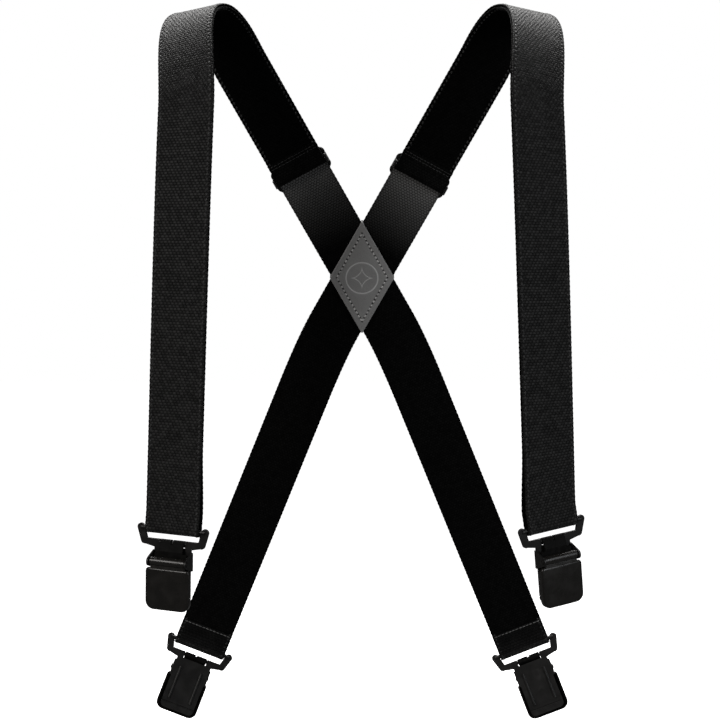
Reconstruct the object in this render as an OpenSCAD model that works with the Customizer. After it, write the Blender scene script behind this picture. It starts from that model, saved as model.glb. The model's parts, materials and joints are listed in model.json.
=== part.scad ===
// Suspenders with an X back: two elastic straps that cross under a leather patch,
// a sliding adjuster on each shoulder strap, and a lever clip on each of the four ends.
// The straps stand as they lie over a wearer's shoulders: -Y is the wearer's front,
// +X the wearer's left, and the origin is midway between the two shoulder tops.

/* [Webbing] */
// Width of the elastic webbing
web_w = 38; // [36:0.5:38]
// Thickness of the elastic webbing
web_t = 1.6; // [1.4:0.1:1.6]
// Air left between two layers of webbing
layer_gap = 0.3; // [0.25:0.05:0.35]
// Height of the sewn turn-up on the inner side of a rear end
turn_up = 16; // [12:1:20]
// How far one strap passes behind the other at the crossing
cross_shift = 0.95; // [0.9:0.05:1.2]

/* [Wearing shape] */
// Distance from the middle to the centre of a strap on top of the shoulder
shoulder_x = 106; // [104:0.5:108]
// Distance from the middle to the centre of a strap at its front end
front_x = 121.5; // [118:0.5:125]
// Depth of the front straps before the shoulder tops
front_y = 70; // [66:1:74]
// Depth of each front fold below the shoulder tops, left then right
front_z = [334, 336.5]; // [325:0.5:345]
// Depth of the crossing behind the shoulder tops
cross_y = 75; // [71:1:79]
// Depth of the crossing below the shoulder tops
cross_z = 180; // [178:1:182]
// Distance from the middle to the centre of a strap at its rear end
rear_x = 119; // [115:0.5:121]
// Depth of the rear ends behind the shoulder tops
rear_y = 130; // [126:1:134]
// Depth of the rear ends below the shoulder tops
rear_z = 449.5; // [442:0.5:454]
// How far each front strap faces outwards, left then right, in degrees
front_yaw = [27, 20]; // [15:1:30]
// How far each front clip leans outwards, left then right, in degrees
front_lean = [8, 2.5]; // [0:0.5:12]
// How much lower the outer edge of a strap lies on top of the shoulder, in degrees
shoulder_dip = 6; // [4:0.5:8]
// How far past the crossing the back straps run straight
past_cross = 38; // [36:1:40]
// Distance from the top of the back down to each adjuster, left then right
glide_drop = [85.9, 81.1]; // [40:0.1:90]

/* [Patch] */
// How far the patch stands past the straps' edges
patch_over = 0.9; // [0:0.1:1]
// Thickness of the leather patch
patch_t = 1.4; // [1:0.1:1.6]
// Outer radius of the ring pressed into the patch
ring_r = 11; // [9:0.5:12]
// Width of the ring pressed into the patch
ring_w = 0.8; // [0.6:0.1:1]

/* [Adjuster] */
// Radius of the adjuster's middle bar
glide_bar_r = 1.2; // [1:0.1:1.3]
// Distance from the adjuster's middle bar to each outer bar
glide_pitch = 5.4; // [5.2:0.1:5.8]

/* [Clip] */
// Radius of the round bar that carries the webbing
loop_bar_r = 1.5; // [1.3:0.1:1.5]
// Distance from the webbing bar to the bar that carries the jaw
jaw_drop = 8.8; // [8.6:0.1:9.2]
// Radius of the bar that carries the jaw
jaw_bar_r = 1.2; // [1.1:0.05:1.2]
// Thickness of the clip's frame
frame_t = 1.6; // [1.4:0.1:1.6]
// Width of the clip's back plate
plate_w = 25; // [24:0.5:25]
// Distance from the webbing bar to the bottom of the back plate
plate_end = 49.6; // [48:0.2:50]
// Distance from the webbing bar to the lever's pin
pin_drop = 20; // [19.6:0.2:20.4]
// Radius of the lever's pin
pin_r = 1; // [0.9:0.05:1]
// Width of the lever's cover plate
lever_w = 30.8; // [30:0.2:31]
// Angle at which a clip hangs in balance from its bar, in degrees
hang = 7.7; // [0:0.1:12]

/* [Hidden] */
SIDES = ["left", "right"];

// Fits and small sizes
fit = 0.06;
body_gap = 0.3;
layer = web_t + layer_gap;
fold_r = loop_bar_r + 0.1;
bar_in = fold_r + web_t / 2;
loop_in = glide_bar_r + 0.1 + web_t / 2;
front_leg = 12;
rear_leg = 30;
loop_leg = 16;
round_fn = 48;
fine_fn = 32;

webbing = "#1c1c1e";
webbing_inner = "#101012";
leather = "#4d4d4f";
thread = "#2c2c2e";
steel = "#18181a";
plastic = "#222224";

function unit(v) = v / norm(v);
function mix(a, b, f) = a + (b - a) * f;
function smooth(f) = f * f * (3 - 2 * f);
function ramp(f) = smooth(min(1, max(0, f)));

// The route of the main webbing's middle surface, from the front fold to the rear end.
// Each knot is [point, direction, turn of the across line about Z, its dip, pull]
function slope(a, b) = unit(b - a);
back_top = [82, 31, -38.5];
crossing = [0, cross_y, -cross_z];
straight = norm(crossing - back_top) + past_cross;
straight_end = back_top + straight * slope(back_top, crossing);
bend_end = [-46.5, 97.5, -273];
rear_top = [-rear_x, rear_y, -rear_z];
function knots(side) = [
    [[front_x, -front_y, -front_z[side]], unit([-0.03, 0, 1]), front_yaw[side], 0, 1],
    [[114, -63, -74], unit([-0.025, 0.2, 1]), front_yaw[side] - 3, 0, 1],
    [
        [shoulder_x, 0, -(web_t + web_w * sin(shoulder_dip)) / 2],
        [-sin(31), cos(31), 0], 31, -shoulder_dip, 1.1
    ],
    [back_top, slope(back_top, crossing), 0, 0, 1.1],
    [straight_end, slope(back_top, crossing), 0, 0, 0.9],
    [bend_end, slope(bend_end, rear_top), 0, 0, 1],
    [rear_top, slope(bend_end, rear_top), 0, 0, 1]
];
SHOULDER = 2;
BACK_TOP = 3;
STRAIGHT_END = 4;
BEND_END = 5;
REAR_END = 6;

// Point and direction on the route: a cubic between two knots
function cubic(a, b, f) =
    let (h = norm(b[0] - a[0]) * (a[4] + b[4]) / 2)
    (2 * f * f * f - 3 * f * f + 1) * a[0] + (f * f * f - 2 * f * f + f) * h * a[1]
    + (3 * f * f - 2 * f * f * f) * b[0] + (f * f * f - f * f) * h * b[1];
function route(side, t) =
    let (k = knots(side), i = min(floor(t), REAR_END - 1))
    cubic(k[i], k[i + 1], t - i);
function heading(side, t) =
    let (d = 0.002, lo = max(0, t - d), hi = min(REAR_END, t + d))
    unit(route(side, hi) - route(side, lo));
function across(side, t) =
    let (
        k = knots(side),
        i = min(floor(t), REAR_END - 1),
        f = smooth(t - i),
        turn = mix(k[i][2], k[i + 1][2], f),
        dip = mix(k[i][3], k[i + 1][3], f)
    )
    [cos(turn), sin(turn), sin(dip)];
function outward(side, t) = unit(cross(across(side, t), heading(side, t)));

// How the webbing turns in its own plane above a leaning front clip
LEAN_SPAN = 0.28;
function lean_at(side, t) = front_lean[side] * (1 - ramp(t / LEAN_SPAN));
// The inner layer stands further in beside the fold, where it goes round the bar
SPREAD_SPAN = 0.16;
function inset(t) = layer + (2 * bar_in - layer) * (1 - ramp(t / SPREAD_SPAN));

// A station is [point, across, outward]
function station(side, t, in) =
    let (
        n = outward(side, t),
        w = cross(heading(side, t), n),
        a = lean_at(side, t)
    )
    [route(side, t) - in * n, cos(a) * w + sin(a) * heading(side, t), n];
function corners(s) = [
    for (c = [[-1, -1], [1, -1], [1, 1], [-1, 1]])
        s[0] + c[0] * web_w / 2 * s[1] + c[1] * web_t / 2 * s[2]
];
module ribbon(stations) {
    n = len(stations);
    points = [for (s = stations) each corners(s)];
    // The inner and the outer face are split along the same diagonal, so that twisted layers nest
    sides = [
        for (i = [0 : n - 2], j = [0 : 3])
            let (a = 4 * i + j, b = 4 * i + (j + 1) % 4)
            each (j == 2 ? [[a, b, a + 4], [b, b + 4, a + 4]] : [[a, b, b + 4], [a, b + 4, a + 4]])
    ];
    caps = [[2, 1, 0], [3, 2, 0], [4 * n - 4, 4 * n - 3, 4 * n - 2], [4 * n - 4, 4 * n - 2, 4 * n - 1]];
    polyhedron(points = points, faces = concat(sides, caps), convexity = 6);
}
module run(side, from, to, steps, inner = false) {
    ribbon([
        for (i = [0 : steps])
            let (t = mix(from, to, i / steps))
            station(side, t, inner ? inset(t) : 0)
    ]);
}

// Where each run begins and ends along the route
GAP_FRONT = body_gap / norm(knots(0)[1][0] - knots(0)[0][0]);
GAP_BACK = body_gap / straight;
GAP_REAR = body_gap / norm(rear_top - bend_end);
CHEST = 0.72;
GLIDE = [for (drop = glide_drop) BACK_TOP + drop / straight];
GLIDE_LEG = loop_leg / straight;
FOLD_LEG = rear_leg / norm(rear_top - bend_end);
BACK_WEB_END = 4.43;

// Every placed piece is drawn with Z up along the webbing, X across it and -Y outwards
module placed(p, n, up) {
    x = cross(up, n);
    multmatrix([
        [x[0], -n[0], up[0], p[0]],
        [x[1], -n[1], up[1], p[1]],
        [x[2], -n[2], up[2], p[2]],
        [0, 0, 0, 1]
    ])
        children();
}
// An end's frame is [bar centre, outward, up]
function front_end(side) =
    let (
        n = outward(side, 0),
        h = heading(side, 0),
        w = cross(h, n),
        a = front_lean[side],
        up = cos(a) * h - sin(a) * w
    )
    [route(side, 0) - front_leg * up - bar_in * n, n, up];
function rear_end(side) =
    let (n = outward(side, REAR_END), up = -heading(side, REAR_END))
    [route(side, REAR_END) - bar_in * n, n, up];
function glide_frame(side) = let (t = GLIDE[side]) [route(side, t), outward(side, t), -heading(side, t)];
function end_frame(side, end) = end == "front" ? front_end(side) : rear_end(side);
// A clip hangs from its bar: up lies as near the vertical as the bar allows, then tips by hang
function clip_up(f) =
    let (
        x = cross(f[2], f[1]),
        z = unit([0, 0, 1] - x[2] * x),
        y = cross(z, x)
    )
    cos(hang) * z - sin(hang) * y;
function clip_frame(side, end) =
    let (
        f = end_frame(side, end),
        x = cross(f[2], f[1]),
        up = clip_up(f)
    )
    [f[0], -cross(up, x), up];

// The left side as drawn, the right side mirrored, each shifted so the straps pass at the crossing
module sided(side) {
    translate([0, side == 0 ? cross_shift : -cross_shift, 0])
        mirror([side, 0, 0])
            children();
}
module at_end(side, end) {
    f = end_frame(side, end);
    sided(side) placed(f[0], f[1], f[2]) children();
}
module at_clip(side, end) {
    f = clip_frame(side, end);
    sided(side) placed(f[0], f[1], f[2]) children();
}
module at_glide(side) {
    f = glide_frame(side);
    sided(side) placed(f[0], f[1], f[2]) children();
}

// Webbing that goes round a bar: one leg straight up outside, one inside that may close in.
// The section is drawn with X inwards and Y up, then laid along the bar
module turned_web(bore, leg, inner_leg, close) {
    r = bore + web_t;
    rise = 0.3 * bore;
    rotate([90, 0, 90])
        linear_extrude(height = web_w, center = true) {
            difference() {
                circle(r = r, $fn = round_fn);
                circle(r = bore, $fn = round_fn);
                translate([-2 * r, 0]) square([4 * r, 2 * r]);
            }
            translate([-r, 0]) square([web_t, leg]);
            polygon([
                [bore, 0],
                [r, 0],
                [r, rise],
                [r - close, close * 2 + rise],
                [r - close, inner_leg],
                [bore - close, inner_leg],
                [bore - close, close * 2 + rise],
                [bore, rise]
            ]);
        }
}
module front_fold(side) {
    color(webbing) at_end(side, "front") turned_web(fold_r, front_leg, front_leg, 0);
}
module rear_fold(side) {
    color(webbing_inner) at_end(side, "rear") turned_web(fold_r, rear_leg, turn_up, 2 * fold_r - 0.02);
}
// Rows of thread that close a turned end
module seam(y, z, rows, deep) {
    for (i = [0 : rows - 1])
        translate([0, y, z + i * 2])
            rotate([0, 90, 0])
                cylinder(r = deep, h = web_w - 4, center = true, $fn = 16);
}
module rear_seam(side) {
    color(thread) at_end(side, "rear") seam(web_t * 1.5 - bar_in + web_t / 2 + 0.45, turn_up - 4, 2, 0.4);
}

// The adjuster: two outer bars with round ends behind the webbing, and a middle bar before it
// that holds the loop
glide_in = layer + loop_in;
glide_half = 21;
module adjuster(side) {
    lobe_r = 3.9;
    lobe_x = 17.2;
    plate_t = 1.4;
    rail_t = 1.6;
    rail_h = 6;
    plate_y = -(web_t / 2 + body_gap + plate_t / 2);
    rail_in = glide_in + glide_bar_r - plate_y + plate_t / 2;
    color(steel) at_glide(side) {
        translate([0, glide_in, 0]) rotate([0, 90, 0])
            cylinder(r = glide_bar_r, h = 2 * glide_half, center = true, $fn = round_fn);
        for (z = [-1, 1]) {
            translate([0, plate_y, z * glide_pitch])
                cube([2 * lobe_x, plate_t, 2.6], center = true);
            for (x = [-1, 1])
                translate([x * lobe_x, plate_y, z * (glide_pitch - 1)]) rotate([90, 0, 0])
                    cylinder(r = lobe_r, h = plate_t, center = true, $fn = round_fn);
        }
        for (x = [-1, 1])
            translate([x * (glide_half - rail_t / 2), plate_y - plate_t / 2 + rail_in / 2, 0])
                cube([rail_t, rail_in, rail_h], center = true);
    }
}
module return_loop(side) {
    close = 2 * (glide_bar_r + 0.1) - 0.02;
    color(webbing_inner) at_glide(side)
        translate([0, glide_in, 0]) turned_web(glide_bar_r + 0.1, loop_leg, loop_leg - 2, close);
}
module return_seam(side) {
    color(thread) at_glide(side) seam(layer + web_t * 1.5 + 0.02 + 0.4, loop_leg - 6, 2, 0.4);
}

// The clip's frame, drawn from the webbing bar at the origin downwards
neck_w = 26;
arm_r = 2;
high_r = 2.6;
low_r = 2.5;
loop_half = 22.6;
loop_half_low = 20.2;
tongue_w = 16.6;
tongue_r = 2.2;
window_w = tongue_w + 0.8;
window_z = jaw_drop + tongue_r + 0.6;
ear_t = 1.2;
ear_x = 12.7;
ear_r = 3;
jaw_y = 3.1;
jaw_t = 1;
cam_r = 2.9;
cam_shift = 1;
pin_y = jaw_y + jaw_t + body_gap + cam_r + cam_shift;
module x_rod(r, h, y, z) {
    translate([0, y, z]) rotate([0, 90, 0]) cylinder(r = r, h = h, center = true, $fn = round_fn);
}
module flat_disc(x, z, r, t) {
    translate([x, 0, z]) rotate([90, 0, 0]) cylinder(r = r, h = t, center = true, $fn = fine_fn);
}
module frame(side, end) {
    color(steel) at_clip(side, end) {
        x_rod(loop_bar_r, 2 * loop_half, 0, 0);
        x_rod(jaw_bar_r, window_w + 1, 0, -jaw_drop);
        for (x = [-1, 1]) {
            hull() {
                flat_disc(x * loop_half, 0, high_r, frame_t);
                flat_disc(x * loop_half_low, -jaw_drop + 0.4, low_r, frame_t);
            }
            translate([0, frame_t / 2, 0]) rotate([90, 0, 0])
                linear_extrude(height = frame_t)
                    polygon([
                        [x * loop_half_low, -jaw_drop + arm_r],
                        [x * window_w / 2, -jaw_drop + arm_r],
                        [x * window_w / 2, -window_z - 1],
                        [x * neck_w / 2, -window_z - 2],
                        [x * neck_w / 2, -jaw_drop - 3.4],
                        [x * (loop_half_low - 0.5), -jaw_drop - low_r + 0.5]
                    ]);
            ear(x);
        }
        back_plate();
    }
}
module ear(x) {
    translate([x * (ear_x + ear_t / 2), 0, 0]) rotate([0, 90, 0])
        difference() {
            hull() {
                translate([pin_drop, -pin_y, 0]) cylinder(r = ear_r, h = ear_t, center = true, $fn = fine_fn);
                translate([pin_drop - 6, -frame_t / 2, -ear_t / 2]) cube([12, frame_t, ear_t]);
            }
            translate([pin_drop, -pin_y, 0])
                cylinder(r = pin_r + 0.02, h = 2 * ear_t, center = true, $fn = round_fn);
        }
}
// The back plate carries two upright ribs and a cross groove near its foot
module back_plate() {
    foot_r = 3.5;
    rib_r = 1.1;
    difference() {
        union() {
            translate([-plate_w / 2, -frame_t / 2, -plate_end + foot_r])
                cube([plate_w, frame_t, plate_end - foot_r - pin_drop + 6]);
            translate([-neck_w / 2, -frame_t / 2, -pin_drop - 6])
                cube([neck_w, frame_t, pin_drop + 6 - window_z]);
            translate([-plate_w / 2 + foot_r, -frame_t / 2, -plate_end])
                cube([plate_w - 2 * foot_r, frame_t, foot_r + 1]);
            for (x = [-1, 1])
                flat_disc(x * (plate_w / 2 - foot_r), -plate_end + foot_r, foot_r, frame_t);
            for (x = [-1, 1])
                translate([x * 8, frame_t / 2, -42]) cylinder(r = rib_r, h = 24, $fn = fine_fn);
        }
        x_rod(0.5, plate_w + 2, frame_t / 2, -45.2);
    }
}
module grip(side, end) {
    grip_w = 22;
    color(plastic) at_clip(side, end) {
        translate([-grip_w / 2, -frame_t / 2 - 0.8, -48.4]) cube([grip_w, 0.8, 18]);
        for (i = [0 : 6])
            translate([0, -frame_t / 2 - 0.8, -47 + i * 2.6]) rotate([0, 90, 0])
                cylinder(r = 0.4, h = grip_w - 1, center = true, $fn = 16);
    }
}
// The jaw hangs on the lower bar by a rolled tongue and lies inside the lever
module jaw(side, end) {
    slit = 1.2;
    bore = jaw_bar_r + fit;
    color(steel) at_clip(side, end) {
        difference() {
            union() {
                x_rod(tongue_r, tongue_w, 0, -jaw_drop);
                rotate([90, 0, 90])
                    linear_extrude(height = tongue_w, center = true)
                        polygon([
                            [-tongue_r, -jaw_drop],
                            [-bore, -jaw_drop - 0.4],
                            [-jaw_y, -jaw_drop - 5.5],
                            [-jaw_y, -jaw_drop - 7],
                            [-jaw_y - jaw_t, -jaw_drop - 7],
                            [-jaw_y - jaw_t, -jaw_drop - 5]
                        ]);
            }
            x_rod(bore, tongue_w + 2, 0, -jaw_drop);
            translate([-slit / 2, -tongue_r - 1, -jaw_drop - 0.6]) cube([slit, 2 * tongue_r + 2, 4]);
        }
        jaw_plate();
    }
}
module jaw_plate() {
    top_w = 22.8;
    corner = 3;
    top = jaw_drop + 6;
    low = 48.6;
    translate([-top_w / 2, -jaw_y - jaw_t, -low + corner]) cube([top_w, jaw_t, low - corner - top]);
    translate([-top_w / 2 + corner, -jaw_y - jaw_t, -low]) cube([top_w - 2 * corner, jaw_t, corner + 1]);
    for (x = [-1, 1])
        translate([0, -jaw_y - jaw_t / 2, 0])
            flat_disc(x * (top_w / 2 - corner), -low + corner, corner, jaw_t);
}
module jaw_pad(side, end) {
    pad_w = 21;
    color(plastic) at_clip(side, end) {
        translate([-pad_w / 2, -jaw_y, -48]) cube([pad_w, 0.4, 17]);
        for (i = [0 : 5])
            translate([0, -jaw_y + 0.4, -45.7 + i * 2.6]) rotate([0, 90, 0])
                cylinder(r = 0.3, h = pad_w - 1, center = true, $fn = 16);
    }
}
// The lever: a cam barrel on the pin, and a cover plate with turned-in edges
lever_top = pin_drop + 4;
lever_low = 51.6;
cover_y = pin_y + 1.1;
cover_deep = 3.8;
cover_t = 1.1;
module cover_outline(grow) {
    top_r = 2.4;
    low_r = 5.6;
    hull()
        for (x = [-1, 1]) {
            translate([x * (lever_w / 2 - top_r), -lever_top - top_r])
                circle(r = top_r + grow, $fn = fine_fn);
            translate([x * (lever_w / 2 - low_r), -lever_low + low_r])
                circle(r = low_r + grow, $fn = fine_fn);
        }
}
module lever(side, end) {
    barrel_w = 24.6;
    color(steel) at_clip(side, end)
        difference() {
            union() {
                x_rod(cam_r, barrel_w, -pin_y + cam_shift, -pin_drop);
                rotate([90, 0, 90])
                    linear_extrude(height = barrel_w, center = true)
                        polygon([
                            [-pin_y - cam_r + cam_shift + 0.2, -pin_drop],
                            [-cover_y, -lever_top - 1.5],
                            [-cover_y + cover_t, -lever_top - 1.5],
                            [-pin_y + cam_shift + 2, -pin_drop - 1.5]
                        ]);
                difference() {
                    translate([0, -cover_y + cover_deep, 0]) rotate([90, 0, 0])
                        linear_extrude(height = cover_deep) cover_outline(0);
                    translate([0, -cover_y + cover_deep + 1, 0]) rotate([90, 0, 0])
                        linear_extrude(height = cover_deep - cover_t + 1) cover_outline(-cover_t);
                    translate([-lever_w, -cover_y + cover_t, -lever_top - 2.2]) cube([2 * lever_w, 6, 4]);
                }
            }
            x_rod(pin_r + fit, barrel_w + 2, -pin_y, -pin_drop);
        }
}
module pin(side, end) {
    head_r = 1.8;
    head_t = 0.7;
    color(steel) at_clip(side, end) {
        x_rod(pin_r, 2 * (ear_x + ear_t), -pin_y, -pin_drop);
        for (x = [-1, 1])
            translate([x * (ear_x + ear_t + head_t / 2), 0, 0]) x_rod(head_r, head_t, -pin_y, -pin_drop);
    }
}

// The crossing is covered on both sides by a leather lozenge that follows the straps' edges
patch_tilt = atan2(cross_y - back_top[1], cross_z + back_top[2]);
patch_angle = atan2(back_top[0], norm([cross_y - back_top[1], cross_z + back_top[2]]));
patch_half_w = (web_w / 2 + patch_over) / cos(patch_angle);
patch_half_h = (web_w / 2 + patch_over) / sin(patch_angle);
patch_cut = 0.9;
module lozenge() {
    corner = 0.6;
    hull() {
        for (z = [-1, 1])
            translate([0, z * (patch_half_h - patch_cut)]) circle(r = corner, $fn = fine_fn);
        for (x = [-1, 1])
            translate([x * (patch_half_w - patch_cut / 2), 0]) circle(r = corner, $fn = fine_fn);
    }
}
module patch_at(y) {
    translate([0, cross_y, -cross_z]) rotate([patch_tilt, 0, 0]) translate([0, y, 0])
        rotate([90, 0, 0])
            children();
}
inner_face = -(web_t / 2 + cross_shift * cos(patch_tilt)) - 0.05;
module inner_patch() {
    color(leather) patch_at(inner_face)
        difference() {
            linear_extrude(height = patch_t) lozenge();
            translate([0, 0, patch_t - 0.3])
                difference() {
                    cylinder(r = ring_r, h = 1, $fn = round_fn);
                    translate([0, 0, -1]) cylinder(r = ring_r - ring_w, h = 3, $fn = round_fn);
                }
        }
}
module outer_patch() {
    color(leather) patch_at(-inner_face + patch_t) linear_extrude(height = patch_t) lozenge();
}

for (i = [0, 1]) {
    s = SIDES[i];
    color(webbing) sided(i) run(i, BACK_TOP, BACK_WEB_END, 13);
    color(webbing) sided(i) run(i, CHEST, BACK_TOP, 28);
    color(webbing) sided(i) run(i, GAP_FRONT, CHEST, 14);
    color(webbing) sided(i) run(i, BACK_WEB_END, REAR_END - FOLD_LEG - GAP_REAR, 6);
    color(webbing_inner) sided(i) run(i, GAP_FRONT, CHEST, 16, true);
    color(webbing_inner) sided(i) run(i, CHEST, BACK_TOP, 28, true);
    color(webbing_inner) sided(i) run(i, BACK_TOP, GLIDE[i] - GLIDE_LEG - GAP_BACK, 3, true);
    return_loop(i);
    return_seam(i);
    adjuster(i);
    front_fold(i);
    rear_fold(i);
    rear_seam(i);
    for (e = ["front", "rear"]) {
        frame(i, e);
        grip(i, e);
        jaw(i, e);
        jaw_pad(i, e);
        lever(i, e);
        pin(i, e);
    }
}
inner_patch();
outer_patch();
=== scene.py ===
"""Suspenders with an X back: elastic webbing, leather crossing patches and lever clips, in a studio."""

import json
import logging
import math
from dataclasses import dataclass, field
from enum import Enum
from typing import Any, Sequence

import bmesh
import bpy
import numpy as np
from mathutils import Matrix, Vector


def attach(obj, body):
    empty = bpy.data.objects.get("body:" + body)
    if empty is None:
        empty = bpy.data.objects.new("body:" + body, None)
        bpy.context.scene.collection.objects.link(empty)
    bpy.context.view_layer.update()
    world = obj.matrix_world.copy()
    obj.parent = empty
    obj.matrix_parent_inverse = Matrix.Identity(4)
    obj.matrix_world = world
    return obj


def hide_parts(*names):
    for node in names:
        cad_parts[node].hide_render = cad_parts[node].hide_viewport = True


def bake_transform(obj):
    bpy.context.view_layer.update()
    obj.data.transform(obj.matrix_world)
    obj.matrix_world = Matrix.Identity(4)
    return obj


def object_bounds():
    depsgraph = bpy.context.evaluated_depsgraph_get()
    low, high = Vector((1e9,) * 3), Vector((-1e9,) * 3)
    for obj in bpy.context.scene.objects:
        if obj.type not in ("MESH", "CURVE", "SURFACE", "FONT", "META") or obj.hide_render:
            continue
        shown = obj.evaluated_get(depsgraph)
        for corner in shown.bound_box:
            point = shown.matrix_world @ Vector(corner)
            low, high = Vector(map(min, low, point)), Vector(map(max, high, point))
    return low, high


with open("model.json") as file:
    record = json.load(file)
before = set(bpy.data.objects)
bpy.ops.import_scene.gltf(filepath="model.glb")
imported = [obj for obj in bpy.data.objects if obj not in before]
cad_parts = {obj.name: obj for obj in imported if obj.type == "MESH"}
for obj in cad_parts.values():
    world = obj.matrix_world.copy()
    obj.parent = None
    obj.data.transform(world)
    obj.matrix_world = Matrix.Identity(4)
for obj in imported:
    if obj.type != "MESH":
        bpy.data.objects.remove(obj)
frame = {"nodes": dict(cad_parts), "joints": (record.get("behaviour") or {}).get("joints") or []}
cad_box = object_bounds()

LOG = logging.getLogger("suspenders")
MM = 0.001


class Side(Enum):
    """The wearer's left strap, or the right one, which mirrors it."""

    LEFT = "left"
    RIGHT = "right"

    @property
    def sign(self) -> int:
        """1 for the side as drawn, -1 for the mirrored one."""
        return 1 if self is Side.LEFT else -1

    @property
    def number(self) -> int:
        """The side's place in a pair of values."""
        return 0 if self is Side.LEFT else 1


class End(Enum):
    """The front or the rear end of a strap."""

    FRONT = "front"
    REAR = "rear"


class Hold(Enum):
    """How a sheet of cloth or leather is held."""

    DRAPED = "draped"
    STRETCHED = "stretched"
    LAID = "laid"


# Node trees


class Wiring:
    """Adds nodes to one tree in few words."""

    def __init__(self, tree: bpy.types.NodeTree) -> None:
        """Keeps the tree that the nodes go into.

        Args:
            tree: the node tree to build in.
        """
        self.tree = tree

    def add(self, kind: str, inputs: dict[Any, Any] | None = None, **settings: Any) -> bpy.types.Node:
        """Makes a node and feeds its inputs.

        Args:
            kind: the node's type.
            inputs: what goes into each socket, by name or number: a socket, a node or a value.
            settings: the node's own properties.

        Returns:
            The new node.
        """
        node = self.tree.nodes.new(kind)
        for name, value in settings.items():
            setattr(node, name, value)
        for key, value in (inputs or {}).items():
            self.feed(node.inputs[key], value)
        return node

    def feed(self, socket: bpy.types.NodeSocket, value: Any) -> None:
        """Links a socket or sets its value.

        Args:
            socket: the input socket.
            value: a socket, a node whose first output is meant, or a plain value.
        """
        if isinstance(value, bpy.types.Node):
            value = next(s for s in value.outputs if s.enabled)
        if isinstance(value, bpy.types.NodeSocket):
            self.tree.links.new(value, socket)
        else:
            socket.default_value = value

    def math(self, operation: str, *values: Any, clamp: bool = False) -> bpy.types.NodeSocket:
        """A Math node's result.

        Args:
            operation: the node's operation.
            values: its inputs in order.
            clamp: whether the result is kept between 0 and 1.

        Returns:
            The output socket.
        """
        inputs = dict(enumerate(values))
        return self.add("ShaderNodeMath", inputs, operation=operation, use_clamp=clamp).outputs[0]

    def blend(self, factor: Any, low: Any, high: Any) -> bpy.types.NodeSocket:
        """A colour between two colours.

        Args:
            factor: 0 for the low colour, 1 for the high one.
            low: the first colour.
            high: the second colour.

        Returns:
            The output socket.
        """
        node = self.add("ShaderNodeMix", data_type="RGBA", clamp_factor=True)
        self.feed(node.inputs[0], factor)
        self.feed(node.inputs[6], low)
        self.feed(node.inputs[7], high)
        return node.outputs[2]

    def span(self, value: Any, low: float, high: float, to_low: Any, to_high: Any) -> bpy.types.NodeSocket:
        """A number mapped from one range to another, kept inside it.

        Args:
            value: the number.
            low: the range's start.
            high: the range's end.
            to_low: the result at the start.
            to_high: the result at the end.

        Returns:
            The output socket.
        """
        keys = ("Value", "From Min", "From Max", "To Min", "To Max")
        inputs = dict(zip(keys, (value, low, high, to_low, to_high)))
        return self.add("ShaderNodeMapRange", inputs, clamp=True).outputs[0]


def grey(tone: float, warm: float = 0.0) -> tuple[float, float, float, float]:
    """A grey with a little warmth.

    Args:
        tone: its brightness.
        warm: how much redder it is than blue, as a share of the tone.

    Returns:
        The colour with its alpha.
    """
    return (tone * (1 + warm), tone, tone * (1 - warm), 1.0)


class ShaderGroup:
    """A shader node group with named inputs and outputs."""

    def __init__(
        self,
        name: str,
        inputs: Sequence[tuple[str, str, Any]],
        outputs: Sequence[tuple[str, str]],
    ) -> None:
        """Makes the group's tree and its sockets.

        Args:
            name: the group's name.
            inputs: each input's name, socket type and default value.
            outputs: each output's name and socket type.
        """
        self.tree = bpy.data.node_groups.new(name, "ShaderNodeTree")
        for label, kind, value in inputs:
            socket = self.tree.interface.new_socket(label, in_out="INPUT", socket_type=kind)
            if value is not None:
                socket.default_value = value
        for label, kind in outputs:
            self.tree.interface.new_socket(label, in_out="OUTPUT", socket_type=kind)
        self.wires = Wiring(self.tree)
        self.given = self.wires.add("NodeGroupInput").outputs
        self.made = self.wires.add("NodeGroupOutput").inputs

    def put(self, label: str, value: Any) -> None:
        """Feeds one of the group's outputs.

        Args:
            label: the output's name.
            value: the socket that feeds it.
        """
        self.wires.feed(self.made[label], value)


NUMBER = "NodeSocketFloat"
VECTOR = "NodeSocketVector"


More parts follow.
